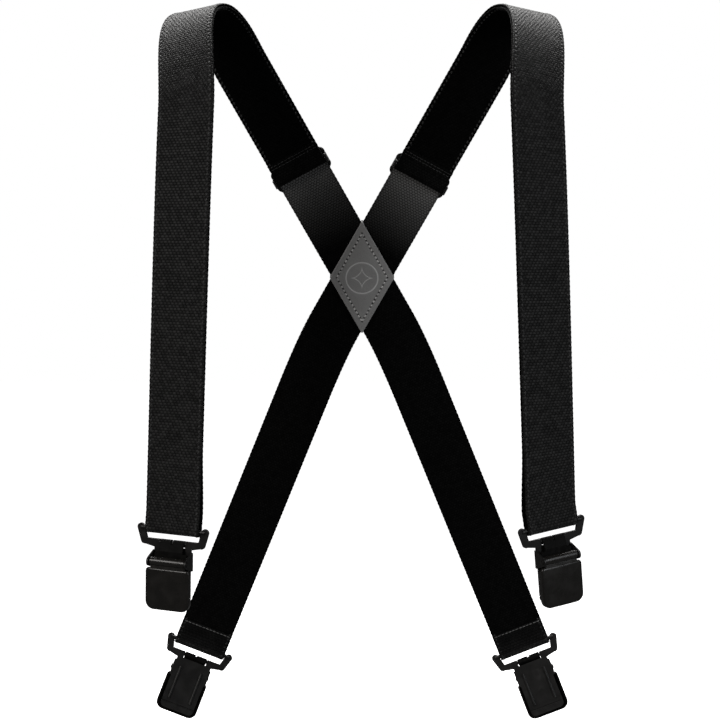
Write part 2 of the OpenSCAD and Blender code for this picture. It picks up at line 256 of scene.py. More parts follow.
class EffectLibrary:
    """The shader groups that several finishes share, each built once."""

    def __init__(self) -> None:
        """Builds the groups."""
        self.weave = self._weave()
        self.grain = self._grain()
        self.dust = self._dust()
        self.wear = self._wear()

    @staticmethod
    def _weave() -> bpy.types.NodeTree:
        """Rows of thread knuckles on a cloth's own map.

        Returns:
            The group's tree, with Height, Gap and Tone outputs.
        """
        group = ShaderGroup(
            "Woven threads",
            [
                ("Vector", VECTOR, None),
                ("Pitch", NUMBER, 1.5 * MM),
                ("Row Height", NUMBER, 0.9 * MM),
                ("Slant", NUMBER, 0.38),
                ("Unevenness", NUMBER, 0.3),
            ],
            [("Height", NUMBER), ("Gap", NUMBER), ("Tone", NUMBER)],
        )
        w, given = group.wires, group.given
        slub = w.add("ShaderNodeTexNoise", {"Vector": given["Vector"], "Scale": 190.0, "Detail": 2.0})
        wander = w.math("MULTIPLY", w.math("SUBTRACT", slub.outputs[0], 0.5), given["Unevenness"])
        place = w.add("ShaderNodeSeparateXYZ", {0: given["Vector"]})
        along = w.math("ADD", w.math("DIVIDE", place.outputs[1], given["Row Height"]), wander)
        row = w.math("FLOOR", along)
        shifted = w.math(
            "ADD",
            w.math("DIVIDE", place.outputs[0], given["Pitch"]),
            w.math("ADD", w.math("MULTIPLY", row, given["Slant"]), wander),
        )
        across = w.math("SUBTRACT", w.math("MULTIPLY", w.math("FRACT", shifted), 2.0), 1.0)
        upright = w.math("SUBTRACT", w.math("MULTIPLY", w.math("FRACT", along), 2.0), 1.0)
        crown = w.math("SUBTRACT", 1.0, w.math("POWER", w.math("ABSOLUTE", across), 2.4), clamp=True)
        belly = w.math("SUBTRACT", 1.0, w.math("POWER", w.math("ABSOLUTE", upright), 3.0), clamp=True)
        height = w.math("MULTIPLY", w.math("SQRT", crown), w.math("SQRT", belly))
        cell = w.add("ShaderNodeCombineXYZ", {0: w.math("FLOOR", shifted), 1: row})
        tone = w.add("ShaderNodeTexWhiteNoise", {"Vector": cell}, noise_dimensions="2D")
        group.put("Height", height)
        group.put("Gap", w.math("SUBTRACT", 1.0, height, clamp=True))
        group.put("Tone", tone.outputs[0])
        return group.tree

    @staticmethod
    def _grain() -> bpy.types.NodeTree:
        """Pebbles and pores of a grained surface.

        Returns:
            The group's tree, with Height and Pore outputs.
        """
        group = ShaderGroup(
            "Fine grain",
            [("Vector", VECTOR, None), ("Size", NUMBER, 0.9 * MM), ("Pore Size", NUMBER, 0.3 * MM)],
            [("Height", NUMBER), ("Pore", NUMBER)],
        )
        w, given = group.wires, group.given
        scale = w.math("DIVIDE", 1.0, given["Size"])
        fine = w.math("DIVIDE", 1.0, given["Pore Size"])
        bend = w.add("ShaderNodeTexNoise", {"Vector": given["Vector"], "Scale": scale, "Detail": 2.0})
        push = w.add("ShaderNodeVectorMath", {0: bend.outputs[1]}, operation="SCALE")
        w.feed(push.inputs["Scale"], w.math("MULTIPLY", given["Size"], 0.6))
        bent = w.add("ShaderNodeVectorMath", {0: given["Vector"], 1: push}, operation="ADD")
        cells = w.add("ShaderNodeTexVoronoi", {"Vector": bent, "Scale": scale}, feature="DISTANCE_TO_EDGE")
        pores = w.add("ShaderNodeTexNoise", {"Vector": given["Vector"], "Scale": fine, "Detail": 3.0})
        pebble = w.span(cells.outputs[0], 0.0, 0.25, 0.0, 1.0)
        group.put("Height", w.math("ADD", pebble, w.math("MULTIPLY", pores.outputs[0], 0.5)))
        group.put("Pore", w.span(cells.outputs[0], 0.0, 0.12, 1.0, 0.0))
        return group.tree

    @staticmethod
    def _dust() -> bpy.types.NodeTree:
        """Fine lint and soft smudges.

        Returns:
            The group's tree, with Lint and Smudge outputs.
        """
        group = ShaderGroup(
            "Lint and smudges",
            [("Vector", VECTOR, None), ("Spacing", NUMBER, 6 * MM), ("Amount", NUMBER, 0.3)],
            [("Lint", NUMBER), ("Smudge", NUMBER)],
        )
        w, given = group.wires, group.given
        scale = w.math("DIVIDE", 1.0, given["Spacing"])
        soft = w.add("ShaderNodeTexNoise", {"Vector": given["Vector"], "Scale": scale, "Detail": 4.0})
        specks = w.add(
            "ShaderNodeTexVoronoi",
            {"Vector": given["Vector"], "Scale": w.math("MULTIPLY", scale, 4.0), "Randomness": 1.0},
        )
        lint = w.span(specks.outputs[0], 0.05, 0.09, 1.0, 0.0)
        group.put("Lint", w.math("MULTIPLY", lint, given["Amount"]))
        group.put("Smudge", w.span(soft.outputs[0], 0.42, 0.68, 0.0, given["Amount"]))
        return group.tree

    @staticmethod
    def _wear() -> bpy.types.NodeTree:
        """Where a coated edge has worn.

        Returns:
            The group's tree, with a Worn output.
        """
        group = ShaderGroup(
            "Rubbed edges",
            [("Vector", VECTOR, None), ("Patchiness", NUMBER, 3 * MM), ("Amount", NUMBER, 0.5)],
            [("Worn", NUMBER)],
        )
        w, given = group.wires, group.given
        ridge = w.add("ShaderNodeNewGeometry").outputs["Pointiness"]
        scale = w.math("DIVIDE", 1.0, given["Patchiness"])
        patches = w.add("ShaderNodeTexNoise", {"Vector": given["Vector"], "Scale": scale, "Detail": 5.0})
        edge = w.span(ridge, 0.515, 0.60, 0.0, 1.0)
        broken = w.span(patches.outputs[0], 0.40, 0.62, 0.0, 1.0)
        group.put("Worn", w.math("MULTIPLY", w.math("MULTIPLY", edge, broken), given["Amount"]))
        return group.tree


class Finish:
    """Base of the finishes: one procedural material, built when it is first asked for."""

    name: str

    def material(self, effects: EffectLibrary) -> bpy.types.Material:
        """The finish as a material.

        Args:
            effects: the shared shader groups.

        Returns:
            The material, made once for each name.
        """
        known = bpy.data.materials.get(self.name)
        if known is not None:
            return known
        made = bpy.data.materials.new(self.name)
        made.use_nodes = True
        made.node_tree.nodes.clear()
        wires = Wiring(made.node_tree)
        shader = wires.add("ShaderNodeBsdfPrincipled")
        wires.add("ShaderNodeOutputMaterial", {"Surface": shader})
        self.dress(wires, shader, effects)
        return made

    def dress(self, wires: Wiring, shader: bpy.types.Node, effects: EffectLibrary) -> None:
        """Feeds the shader's sockets.

        Args:
            wires: adds nodes to the material.
            shader: the material's Principled BSDF.
            effects: the shared shader groups.
        """
        raise NotImplementedError

    @staticmethod
    def use(wires: Wiring, group: bpy.types.NodeTree, **values: Any) -> bpy.types.NodeOutputs:
        """Places a shared group.

        Args:
            wires: adds nodes to the material.
            group: the group's tree.
            values: its inputs, with an underscore for each space in a name.

        Returns:
            The group's outputs.
        """
        node = wires.add("ShaderNodeGroup", node_tree=group)
        for name, value in values.items():
            wires.feed(node.inputs[name.replace("_", " ")], value)
        return node.outputs

    @staticmethod
    def relief(wires: Wiring, height: Any, distance: float, strength: float = 1.0) -> bpy.types.Node:
        """A Bump node.

        Args:
            wires: adds nodes to the material.
            height: the height from 0 to 1.
            distance: how high 1 stands, in metres.
            strength: how much of it shows.

        Returns:
            The node.
        """
        return wires.add("ShaderNodeBump", {"Height": height, "Distance": distance, "Strength": strength})


@dataclass(frozen=True)
class WovenFinish(Finish):
    """One face of the elastic webbing."""

    name: str
    tone: float
    thread_tone: float
    pitch: float
    row: float
    slant: float
    relief_height: float
    sheen: float
    sheen_tint: float
    roughness: float = 0.62
    shine: float = 0.09
    painted_highlight_tone: float = 0.2

    def dress(self, wires: Wiring, shader: bpy.types.Node, effects: EffectLibrary) -> None:
        """Knuckles of thread, darker between them, a painted highlight on the thread crowns below the
        adjuster, painted shade on the turned-up end, uneven dye and a little lint.

        Args:
            wires: adds nodes to the material.
            shader: the material's Principled BSDF.
            effects: the shared shader groups.
        """
        cloth = wires.add("ShaderNodeUVMap", uv_map=CLOTH_MAP).outputs[0]
        weave = self.use(
            wires, effects.weave, Vector=cloth, Pitch=self.pitch, Row_Height=self.row, Slant=self.slant
        )
        dust = self.use(wires, effects.dust, Vector=cloth, Spacing=9 * MM, Amount=0.35)
        shade = wires.math("MULTIPLY", weave["Height"], wires.span(weave["Tone"], 0.0, 1.0, 0.35, 1.0))
        # Painted light: above 0 this mark paints a highlight on the thread crowns, below 0 it paints shade.
        light_paint = wires.add("ShaderNodeAttribute", attribute_name=PAINTED_LIGHT_MARK).outputs["Fac"]
        painted_highlight_mask = wires.math("MULTIPLY", light_paint, weave["Height"])
        threads = wires.blend(shade, grey(self.tone * 0.1), grey(self.thread_tone, 0.01))
        with_painted_highlight = wires.blend(wires.math("MULTIPLY", painted_highlight_mask, 0.8), threads, grey(self.painted_highlight_tone, 0.01))
        # Painted shade: where the mark is below 0, on the turned-up end, the colour goes darker.
        painted_shade = wires.math("MULTIPLY", light_paint, -0.9, clamp=True)
        worn = wires.blend(painted_shade, with_painted_highlight, grey(self.tone * 0.2))
        dyed = wires.blend(wires.math("MULTIPLY", dust["Smudge"], 0.3), worn, grey(self.thread_tone))
        selvedge = wires.add("ShaderNodeAttribute", attribute_name=EDGE_MARK).outputs["Fac"]
        trimmed = wires.blend(wires.math("MULTIPLY", selvedge, 0.55), dyed, grey(self.tone * 0.3))
        wires.feed(shader.inputs["Base Color"], trimmed)
        rough = wires.span(weave["Height"], 0.0, 1.0, min(1.0, self.roughness + 0.25), self.roughness)
        wires.feed(shader.inputs["Roughness"], rough)
        wires.feed(shader.inputs["Normal"], self.relief(wires, weave["Height"], self.relief_height))
        shader.inputs["Sheen Weight"].default_value = self.sheen
        shader.inputs["Sheen Roughness"].default_value = 0.45
        shader.inputs["Sheen Tint"].default_value = grey(self.sheen_tint)
        shader.inputs["Specular IOR Level"].default_value = self.shine


@dataclass(frozen=True)
class ThreadFinish(Finish):
    """Sewing and selvedge thread."""

    name: str
    tone: float
    light_tone: float
    twist: float = 0.35 * MM

    def dress(self, wires: Wiring, shader: bpy.types.Node, effects: EffectLibrary) -> None:
        """Plies that wind round the thread.

        Args:
            wires: adds nodes to the material.
            shader: the material's Principled BSDF.
            effects: the shared shader groups.
        """
        place = wires.add("ShaderNodeTexCoord").outputs["Object"]
        plies = wires.add(
            "ShaderNodeTexWave",
            {"Vector": place, "Scale": 1.0 / (self.twist * 20), "Distortion": 1.5, "Detail": 1.0},
            bands_direction="DIAGONAL",
        )
        dust = self.use(wires, effects.dust, Vector=place, Spacing=5 * MM, Amount=0.4)
        mixed = wires.blend(plies.outputs[1], grey(self.tone), grey(self.light_tone, 0.02))
        lit = wires.blend(dust["Smudge"], mixed, grey(self.light_tone * 1.2))
        wires.feed(shader.inputs["Base Color"], lit)
        wires.feed(shader.inputs["Roughness"], wires.span(plies.outputs[1], 0.0, 1.0, 0.7, 0.5))
        wires.feed(shader.inputs["Normal"], self.relief(wires, plies.outputs[1], 0.05 * MM))
        shader.inputs["Sheen Weight"].default_value = 0.3
        shader.inputs["Sheen Tint"].default_value = grey(0.6)


@dataclass(frozen=True)
class LeatherFinish(Finish):
    """The patch's grained leather, with a painted highlight on its pressed lines, a lighter rim, and painted
    shade in its stitch holes.
    """

    name: str
    tone: float
    dark_tone: float
    grain: float = 0.8 * MM

    def dress(self, wires: Wiring, shader: bpy.types.Node, effects: EffectLibrary) -> None:
        """Grain, pores, painted shade in the stitch holes, and a painted highlight on the pressed lines.

        Args:
            wires: adds nodes to the material.
            shader: the material's Principled BSDF.
            effects: the shared shader groups.
        """
        place = wires.add("ShaderNodeTexCoord").outputs["Object"]
        grain = self.use(wires, effects.grain, Vector=place, Size=self.grain, Pore_Size=0.22 * MM)
        dust = self.use(wires, effects.dust, Vector=place, Spacing=11 * MM, Amount=0.5)
        rim = wires.add("ShaderNodeAttribute", attribute_name=EDGE_MARK).outputs["Fac"]
        pressed = wires.add("ShaderNodeAttribute", attribute_name=HIGHLIGHT_AND_RIM_MARK).outputs["Fac"]
        skin = wires.blend(
            wires.math("MULTIPLY", grain["Pore"], 0.45), grey(self.tone, 0.01), grey(self.dark_tone)
        )
        cloudy = wires.blend(wires.math("MULTIPLY", dust["Smudge"], 0.6), skin, grey(self.tone * 1.25))
        # Painted highlight on the pressed ring and star, and a lighter rim.
        highlighted_skin = wires.blend(wires.math("MULTIPLY", pressed, 0.9), cloudy, grey(self.tone * 2.1))
        # Painted shade: the stitch holes are painted nearly black.
        hole_shaded = wires.blend(wires.math("MULTIPLY", rim, 0.9), highlighted_skin, grey(self.dark_tone * 0.06))
        wires.feed(shader.inputs["Base Color"], hole_shaded)
        wires.feed(shader.inputs["Roughness"], wires.span(dust["Smudge"], 0.0, 0.5, 0.62, 0.5))
        wires.feed(shader.inputs["Normal"], self.relief(wires, grain["Height"], 0.06 * MM, 0.7))
        shader.inputs["Specular IOR Level"].default_value = 0.4


@dataclass(frozen=True)
class EnamelFinish(Finish):
    """Black enamel on pressed steel."""

    name: str
    tone: float
    roughness: float
    coat: float
    worn: float
    warm: float = 0.05
    shine: float = 0.35
    peel: float = 1.6 * MM

    def dress(self, wires: Wiring, shader: bpy.types.Node, effects: EffectLibrary) -> None:
        """An uneven coat, smudges, and steel that shows a little at worn edges.

        Args:
            wires: adds nodes to the material.
            shader: the material's Principled BSDF.
            effects: the shared shader groups.
        """
        place = wires.add("ShaderNodeTexCoord").outputs["Object"]
        wear = self.use(wires, effects.wear, Vector=place, Amount=self.worn)
        dust = self.use(wires, effects.dust, Vector=place, Spacing=7 * MM, Amount=0.6)
        peel = wires.add("ShaderNodeTexNoise", {"Vector": place, "Scale": 1.0 / self.peel, "Detail": 2.0})
        coat = wires.blend(dust["Smudge"], grey(self.tone, self.warm), grey(self.tone * 1.9, self.warm))
        lint = wires.blend(wires.math("MULTIPLY", dust["Lint"], 0.12), coat, grey(0.2))
        wires.feed(shader.inputs["Base Color"], wires.blend(wear["Worn"], lint, grey(0.16, 0.03)))
        wires.feed(shader.inputs["Metallic"], wires.math("MULTIPLY", wear["Worn"], 0.8))
        rough = wires.span(dust["Smudge"], 0.0, 0.6, self.roughness, self.roughness + 0.12)
        wires.feed(shader.inputs["Roughness"], wires.span(wear["Worn"], 0.0, 1.0, rough, 0.42))
        wires.feed(shader.inputs["Normal"], self.relief(wires, peel.outputs[0], 0.02 * MM, 0.5))
        shader.inputs["Specular IOR Level"].default_value = self.shine
        shader.inputs["Coat Weight"].default_value = self.coat
        shader.inputs["Coat Roughness"].default_value = 0.16


@dataclass(frozen=True)
class PlasticFinish(Finish):
    """Moulded grip pads."""

    name: str
    tone: float

    def dress(self, wires: Wiring, shader: bpy.types.Node, effects: EffectLibrary) -> None:
        """A fine moulded texture with scuffed ridges.

        Args:
            wires: adds nodes to the material.
            shader: the material's Principled BSDF.
            effects: the shared shader groups.
        """
        place = wires.add("ShaderNodeTexCoord").outputs["Object"]
        grain = self.use(wires, effects.grain, Vector=place, Size=0.35 * MM, Pore_Size=0.15 * MM)
        wear = self.use(wires, effects.wear, Vector=place, Amount=0.5)
        dust = self.use(wires, effects.dust, Vector=place, Spacing=4 * MM, Amount=0.4)
        base = wires.blend(dust["Smudge"], grey(self.tone), grey(self.tone * 1.6))
        wires.feed(shader.inputs["Base Color"], wires.blend(wear["Worn"], base, grey(self.tone * 3)))
        wires.feed(shader.inputs["Roughness"], wires.span(grain["Height"], 0.0, 1.5, 0.45, 0.62))
        wires.feed(shader.inputs["Normal"], self.relief(wires, grain["Height"], 0.02 * MM, 0.5))


@dataclass(frozen=True)
class PlainFinish(Finish):
    """The studio floor: a lit white board that glows evenly and throws little light back."""

    name: str
    tone: float

    def dress(self, wires: Wiring, shader: bpy.types.Node, effects: EffectLibrary) -> None:
        """A pale matt coat with the faintest mottling.

        Args:
            wires: adds nodes to the material.
            shader: the material's Principled BSDF.
            effects: the shared shader groups.
        """
        place = wires.add("ShaderNodeTexCoord").outputs["Object"]
        dust = self.use(wires, effects.dust, Vector=place, Spacing=0.4, Amount=0.2)
        mottled = wires.blend(dust["Smudge"], grey(self.tone), grey(self.tone * 0.98))
        seen = wires.add("ShaderNodeLightPath").outputs["Is Camera Ray"]
        wires.feed(shader.inputs["Base Color"], wires.blend(seen, grey(0.05), mottled))
        wires.feed(shader.inputs["Emission Color"], wires.blend(seen, grey(0.02), mottled))
        shader.inputs["Emission Strength"].default_value = 1.2
        shader.inputs["Roughness"].default_value = 0.9
        shader.inputs["Specular IOR Level"].default_value = 0.1


CLOTH_MAP = "cloth"
EDGE_MARK = "edge_mark"
HIGHLIGHT_AND_RIM_MARK = "highlight_and_rim_mark"
PAINTED_LIGHT_MARK = "painted_light_mark"
OUTWARD = "outward"
TANGENT = "tangent"

TWILL = WovenFinish(
    "webbing twill face", 0.004, 0.034, 2.6 * MM, 1.8 * MM, 0.38, 0.5 * MM, 0.12, 0.5, 0.5
)
RIBBED = WovenFinish(
    "webbing ribbed back", 0.004, 0.006, 2.2 * MM, 1.7 * MM, 0.5, 0.35 * MM, 0.03, 0.4, 0.7, 0.04
)
# Painted shade: the return layer's face is the same twill face, painted much darker.
SHADED_TWILL = WovenFinish(
    "twill face in painted shade", 0.002, 0.003, 2.4 * MM, 1.6 * MM, 0.38, 0.25 * MM, 0.02, 0.4, 0.75, 0.03
)
SELVEDGE = ThreadFinish("selvedge thread", 0.006, 0.022)
SEWING = ThreadFinish("sewing thread", 0.45, 0.8)
SEAM = ThreadFinish("seam thread", 0.003, 0.008)
TURN_UP_THREAD = ThreadFinish("turn-up thread", 0.1, 0.22)
# Painted shade: the same selvedge thread, painted darker for the return and back strips.
SHADED_SELVEDGE = ThreadFinish("selvedge thread in painted shade", 0.002, 0.005)
LEATHER = LeatherFinish("patch leather", 0.32, 0.19)
OUTER_LEATHER = LeatherFinish("outer patch leather", 0.16, 0.1)
SATIN = EnamelFinish("satin black enamel", 0.006, 0.42, 0.05, 0.08)
MATT = EnamelFinish("matt black enamel", 0.003, 0.6, 0.0, 0.04, 0.05, 0.08)
GLOSS = EnamelFinish("gloss black enamel", 0.008, 0.26, 0.3, 0.06, 0.12)
PLASTIC = PlasticFinish("moulded grip", 0.012)
FLOOR = PlainFinish("studio floor", 0.9)


# Mesh work


def new_object(name: str, mesh: bpy.types.Mesh) -> bpy.types.Object:
    """Puts a mesh in the scene.

    Args:
        name: the object's name.
        mesh: its mesh.

    Returns:
        The object, at the origin.
    """
    made = bpy.data.objects.new(name, mesh)
    bpy.context.scene.collection.objects.link(made)
    return made


def mesh_from(name: str, points: np.ndarray, faces: Sequence[Sequence[int]]) -> bpy.types.Mesh:
    """A mesh from points and faces.

    Args:
        name: the mesh's name.
        points: its points, one row each.
        faces: each face's point numbers.

    Returns:
        The mesh.
    """
    mesh = bpy.data.meshes.new(name)
    mesh.from_pydata([tuple(p) for p in points], [], [tuple(int(i) for i in f) for f in faces])
    mesh.update()
    return mesh


def baked(item: bpy.types.Object) -> bpy.types.Object:
    """Turns an object's modifiers into plain mesh.

    Args:
        item: the object.

    Returns:
        The same object, with no modifiers left.
    """
    bpy.context.view_layer.update()
    graph = bpy.context.evaluated_depsgraph_get()
    mesh = bpy.data.meshes.new_from_object(item.evaluated_get(graph), depsgraph=graph)
    item.modifiers.clear()
    old = item.data
    item.data = mesh
    mesh.name = item.name
    bpy.data.meshes.remove(old)
    return item


def smoothed(mesh: bpy.types.Mesh, angle: float = 35.0) -> None:
    """Shades a mesh smooth, apart from its sharp edges.

    Args:
        mesh: the mesh.
        angle: the angle in degrees past which an edge stays sharp.
    """
    mesh.polygons.foreach_set("use_smooth", np.ones(len(mesh.polygons), dtype=bool))
    mesh.set_sharp_from_angle(angle=math.radians(angle))
    mesh.update()


def mesh_of(work: bmesh.types.BMesh, name: str) -> bpy.types.Mesh:
    """Ends a piece of mesh work.

    Args:
        work: the mesh work, freed afterwards.
        name: the mesh's name.

    Returns:
        The mesh, facing outwards.
    """
    bmesh.ops.recalc_face_normals(work, faces=work.faces[:])
    mesh = bpy.data.meshes.new(name)
    work.to_mesh(mesh)
    work.free()
    return mesh


def ring_bands(number: np.ndarray) -> np.ndarray:
    """The quads between neighbouring closed rings of points.

    Args:
        number: the points' numbers, one row for each ring.

    Returns:
        The quads, one row each.
    """
    following = np.roll(number, -1, axis=1)
    return np.stack([number[:-1], number[1:], following[1:], following[:-1]], axis=-1).reshape(-1, 4)


def store(mesh: bpy.types.Mesh, name: str, values: np.ndarray, vector: bool = False) -> None:
    """Keeps a value on every point of a mesh.

    Args:
        mesh: the mesh.
        name: the attribute's name.
        values: one value, or one vector, for each point.
        vector: whether the values are vectors.
    """
    attribute = mesh.attributes.new(name, "FLOAT_VECTOR" if vector else "FLOAT", "POINT")
    attribute.data.foreach_set("vector" if vector else "value", values.astype(np.float32).ravel())


def joined(name: str, meshes: Sequence[bpy.types.Mesh]) -> bpy.types.Mesh:
    """Several meshes as one, with their materials kept.

    Args:
        name: the new mesh's name.
        meshes: the meshes, removed afterwards.

    Returns:
        The mesh.
    """
    work = bmesh.new()
    materials: list[bpy.types.Material] = []
    for mesh in meshes:
        start = len(work.faces)
        work.from_mesh(mesh)
        work.faces.ensure_lookup_table()
        places = []
        for material in mesh.materials:
            if material not in materials:
                materials.append(material)
            places.append(materials.index(material))
        for face in work.faces[start:]:
            if places:
                face.material_index = places[face.material_index]
    made = bpy.data.meshes.new(name)
    work.to_mesh(made)
    work.free()
    for material in materials:
        made.materials.append(material)
    for mesh in meshes:
        bpy.data.meshes.remove(mesh)
    return made


# Geometry Nodes


class ShapeTree:
    """A Geometry Nodes tree with named inputs."""

    def __init__(self, name: str, inputs: Sequence[tuple[str, str, Any]]) -> None:
        """Makes the tree and its sockets.

        Args:
            name: the tree's name.
            inputs: each input's name, socket type and default value.
        """
        self.tree = bpy.data.node_groups.new(name, "GeometryNodeTree")
        self.tree.interface.new_socket("Geometry", in_out="INPUT", socket_type="NodeSocketGeometry")
        self.tree.interface.new_socket("Geometry", in_out="OUTPUT", socket_type="NodeSocketGeometry")
        self.keys: dict[str, str] = {}
        for label, kind, value in inputs:
            socket = self.tree.interface.new_socket(label, in_out="INPUT", socket_type=kind)
            if value is not None:
                socket.default_value = value
            self.keys[label] = socket.identifier
        self.wires = Wiring(self.tree)
        self.given = self.wires.add("NodeGroupInput").outputs
        self.made = self.wires.add("NodeGroupOutput").inputs

    def attribute(self, name: str, kind: str = "FLOAT") -> bpy.types.NodeSocket:
        """A named attribute of the geometry.

        Args:
            name: the attribute's name.
            kind: its data type.

        Returns:
            The socket that carries it.
        """
        node = self.wires.add("GeometryNodeInputNamedAttribute", {"Name": name}, data_type=kind)
        return next(s for s in node.outputs if s.enabled)

    def scaled(self, vector: Any, amount: Any) -> bpy.types.NodeSocket:
        """A vector times a number.

        Args:
            vector: the vector.
            amount: the number.

        Returns:
            The output socket.
        """
        node = self.wires.add("ShaderNodeVectorMath", {0: vector}, operation="SCALE")
        self.wires.feed(node.inputs["Scale"], amount)
        return node.outputs[0]

    def turned(self) -> bpy.types.Node:
        """A rotation whose Z is the outward attribute and whose Y is the tangent attribute.

        Returns:
            The rotation node.
        """
        return self.wires.add(
            "FunctionNodeAxesToRotation",
            {"Primary Axis": self.attribute(OUTWARD, "FLOAT_VECTOR"),
             "Secondary Axis": self.attribute(TANGENT, "FLOAT_VECTOR")},
            primary_axis="Z",
            secondary_axis="Y",
        )

    def finished(self, geometry: Any, material: Any, selection: Any = True) -> None:
        """Ends the tree in Realize Instances and Set Material.

        Args:
            geometry: what the tree made.
            material: the material to set.
            selection: the faces that take it.
        """
        solid = self.wires.add("GeometryNodeRealizeInstances", {"Geometry": geometry})
        painted = self.wires.add(
            "GeometryNodeSetMaterial", {"Geometry": solid, "Selection": selection, "Material": material}
        )
        self.wires.feed(self.made[0], painted)

    def apply(self, item: bpy.types.Object, **values: Any) -> bpy.types.Object:
        """Runs the tree on an object and keeps the plain result.

        Args:
            item: the object.
            values: the tree's inputs, with an underscore for each space in a name.

        Returns:
            The same object.
        """
        modifier = item.modifiers.new("shape", "NODES")
        modifier.node_group = self.tree
        for label, value in values.items():
            modifier[self.keys[label.replace("_", " ")]] = value
        return baked(item)


class WebbingTree(ShapeTree):
    """Gives a strip its thickness, rolled selvedges and a row of selvedge nubs along each edge."""

    def __init__(self) -> None:
        """Builds the tree."""
        super().__init__(
            "Webbing",
            [
                ("Thickness", NUMBER, 1.6 * MM),
                ("Roll", NUMBER, 0.8 * MM),
                ("Nub Pitch", NUMBER, 3.3 * MM),
                ("Nub Size", VECTOR, (0.8 * MM, 1.2 * MM, 0.3 * MM)),
                ("Unevenness", NUMBER, 0.07 * MM),
                ("Back Face", "NodeSocketMaterial", None),
                ("Nub", "NodeSocketMaterial", None),
            ],
        )
        w, given = self.wires, self.given
        outward = self.attribute(OUTWARD, "FLOAT_VECTOR")
        near = w.math("DIVIDE", self.attribute("edge_distance"), given["Roll"], clamp=True)
        fall = w.math("SUBTRACT", 1.0, near)
        round_edge = w.math("SQRT", w.math("SUBTRACT", 1.0, w.math("MULTIPLY", fall, fall), clamp=True))
        half = w.math("MULTIPLY", w.math("MULTIPLY", given["Thickness"], 0.5), round_edge)
        noise = w.add("ShaderNodeTexNoise", {"Scale": 60.0, "Detail": 1.0})
        bulge = w.math(
            "MULTIPLY",
            w.math("MULTIPLY", w.math("SUBTRACT", noise.outputs[0], 0.5), given["Unevenness"]),
            near,
        )
        front_offset = self.scaled(outward, w.math("ADD", half, bulge))
        back_offset = self.scaled(outward, w.math("SUBTRACT", bulge, half))
        front = w.add("GeometryNodeSetPosition", {"Geometry": given["Geometry"], "Offset": front_offset})
        back = w.add("GeometryNodeSetPosition", {"Geometry": given["Geometry"], "Offset": back_offset})
        back = w.add("GeometryNodeFlipFaces", {"Mesh": back})
        back = w.add("GeometryNodeSetMaterial", {"Geometry": back, "Material": given["Back Face"]})
        shell = w.add("GeometryNodeJoinGeometry")
        w.feed(shell.inputs[0], front)
        w.feed(shell.inputs[0], back)
        shell = w.add("GeometryNodeMergeByDistance", {"Geometry": shell, "Distance": 0.002 * MM})
        shell = w.add("GeometryNodeSetShadeSmooth", {"Geometry": shell})
        marked = w.math("GREATER_THAN", self.attribute("nub_line"), 0.99)
        line = w.add("GeometryNodeMeshToCurve", {"Mesh": front, "Selection": marked})
        spacing = {"Curve": line, "Length": given["Nub Pitch"]}
        line = w.add("GeometryNodeResampleCurve", spacing, mode="LENGTH")
        ball = w.add("GeometryNodeMeshIcoSphere", {"Radius": 1.0, "Subdivisions": 1})
        ball = w.add("GeometryNodeSetShadeSmooth", {"Geometry": ball})
        nubs = w.add(
            "GeometryNodeInstanceOnPoints",
            {"Points": line, "Instance": ball, "Rotation": self.turned(), "Scale": given["Nub Size"]},
        )
        nubs = w.add(
            "GeometryNodeStoreNamedAttribute",
            {"Geometry": nubs, "Name": "is_nub", "Value": 1.0},
            data_type="FLOAT",
            domain="INSTANCE",
        )
        whole = w.add("GeometryNodeJoinGeometry")
        w.feed(whole.inputs[0], shell)
        w.feed(whole.inputs[0], nubs)
        nub_faces = w.math("GREATER_THAN", self.attribute("is_nub"), 0.5)
        self.finished(whole, given["Nub"], nub_faces)


class StitchTree(ShapeTree):
    """Lays one stitch on every point."""

    def __init__(self) -> None:
        """Builds the tree."""
        super().__init__(
            "Stitches",
            [
                ("Length", NUMBER, 2.4 * MM),
                ("Width", NUMBER, 0.7 * MM),
                ("Height", NUMBER, 0.5 * MM),
                ("Thread", "NodeSocketMaterial", None),
            ],
        )
        w, given = self.wires, self.given
        body = w.add("GeometryNodeMeshUVSphere", {"Segments": 10, "Rings": 7, "Radius": 0.5})
        body = w.add("GeometryNodeSetShadeSmooth", {"Geometry": body})
        size = w.add("ShaderNodeCombineXYZ", {0: given["Width"], 1: given["Length"], 2: given["Height"]})
        stitches = w.add(
            "GeometryNodeInstanceOnPoints",
            {"Points": given["Geometry"], "Instance": body, "Rotation": self.turned(), "Scale": size},
        )
        self.finished(stitches, given["Thread"])


class RidgeTree(ShapeTree):
    """A row of evenly spaced round ridges across a grip, added to the given geometry."""

    def __init__(self) -> None:
        """Builds the tree."""
        super().__init__(
            "Grip ridges",
            [
                ("Count", "NodeSocketInt", 7),
                ("Pitch", NUMBER, 2.6 * MM),
                ("Width", NUMBER, 21 * MM),
                ("Radius", NUMBER, 0.4 * MM),
                ("Plastic", "NodeSocketMaterial", None),
            ],
        )
        w, given = self.wires, self.given
        step = w.add("ShaderNodeCombineXYZ", {2: given["Pitch"]})
        line = w.add("GeometryNodeMeshLine", {"Count": given["Count"], "Offset": step})
        bar = w.add(
            "GeometryNodeMeshCylinder",
            {"Vertices": 14, "Side Segments": 1, "Radius": given["Radius"], "Depth": given["Width"]},
        )
        bar = w.add("GeometryNodeTransform", {"Geometry": bar, "Rotation": (0.0, math.pi / 2, 0.0)})
        ridges = w.add("GeometryNodeInstanceOnPoints", {"Points": line, "Instance": bar})
        whole = w.add("GeometryNodeJoinGeometry")
        w.feed(whole.inputs[0], given["Geometry"])
        w.feed(whole.inputs[0], ridges)
        self.finished(whole, given["Plastic"])


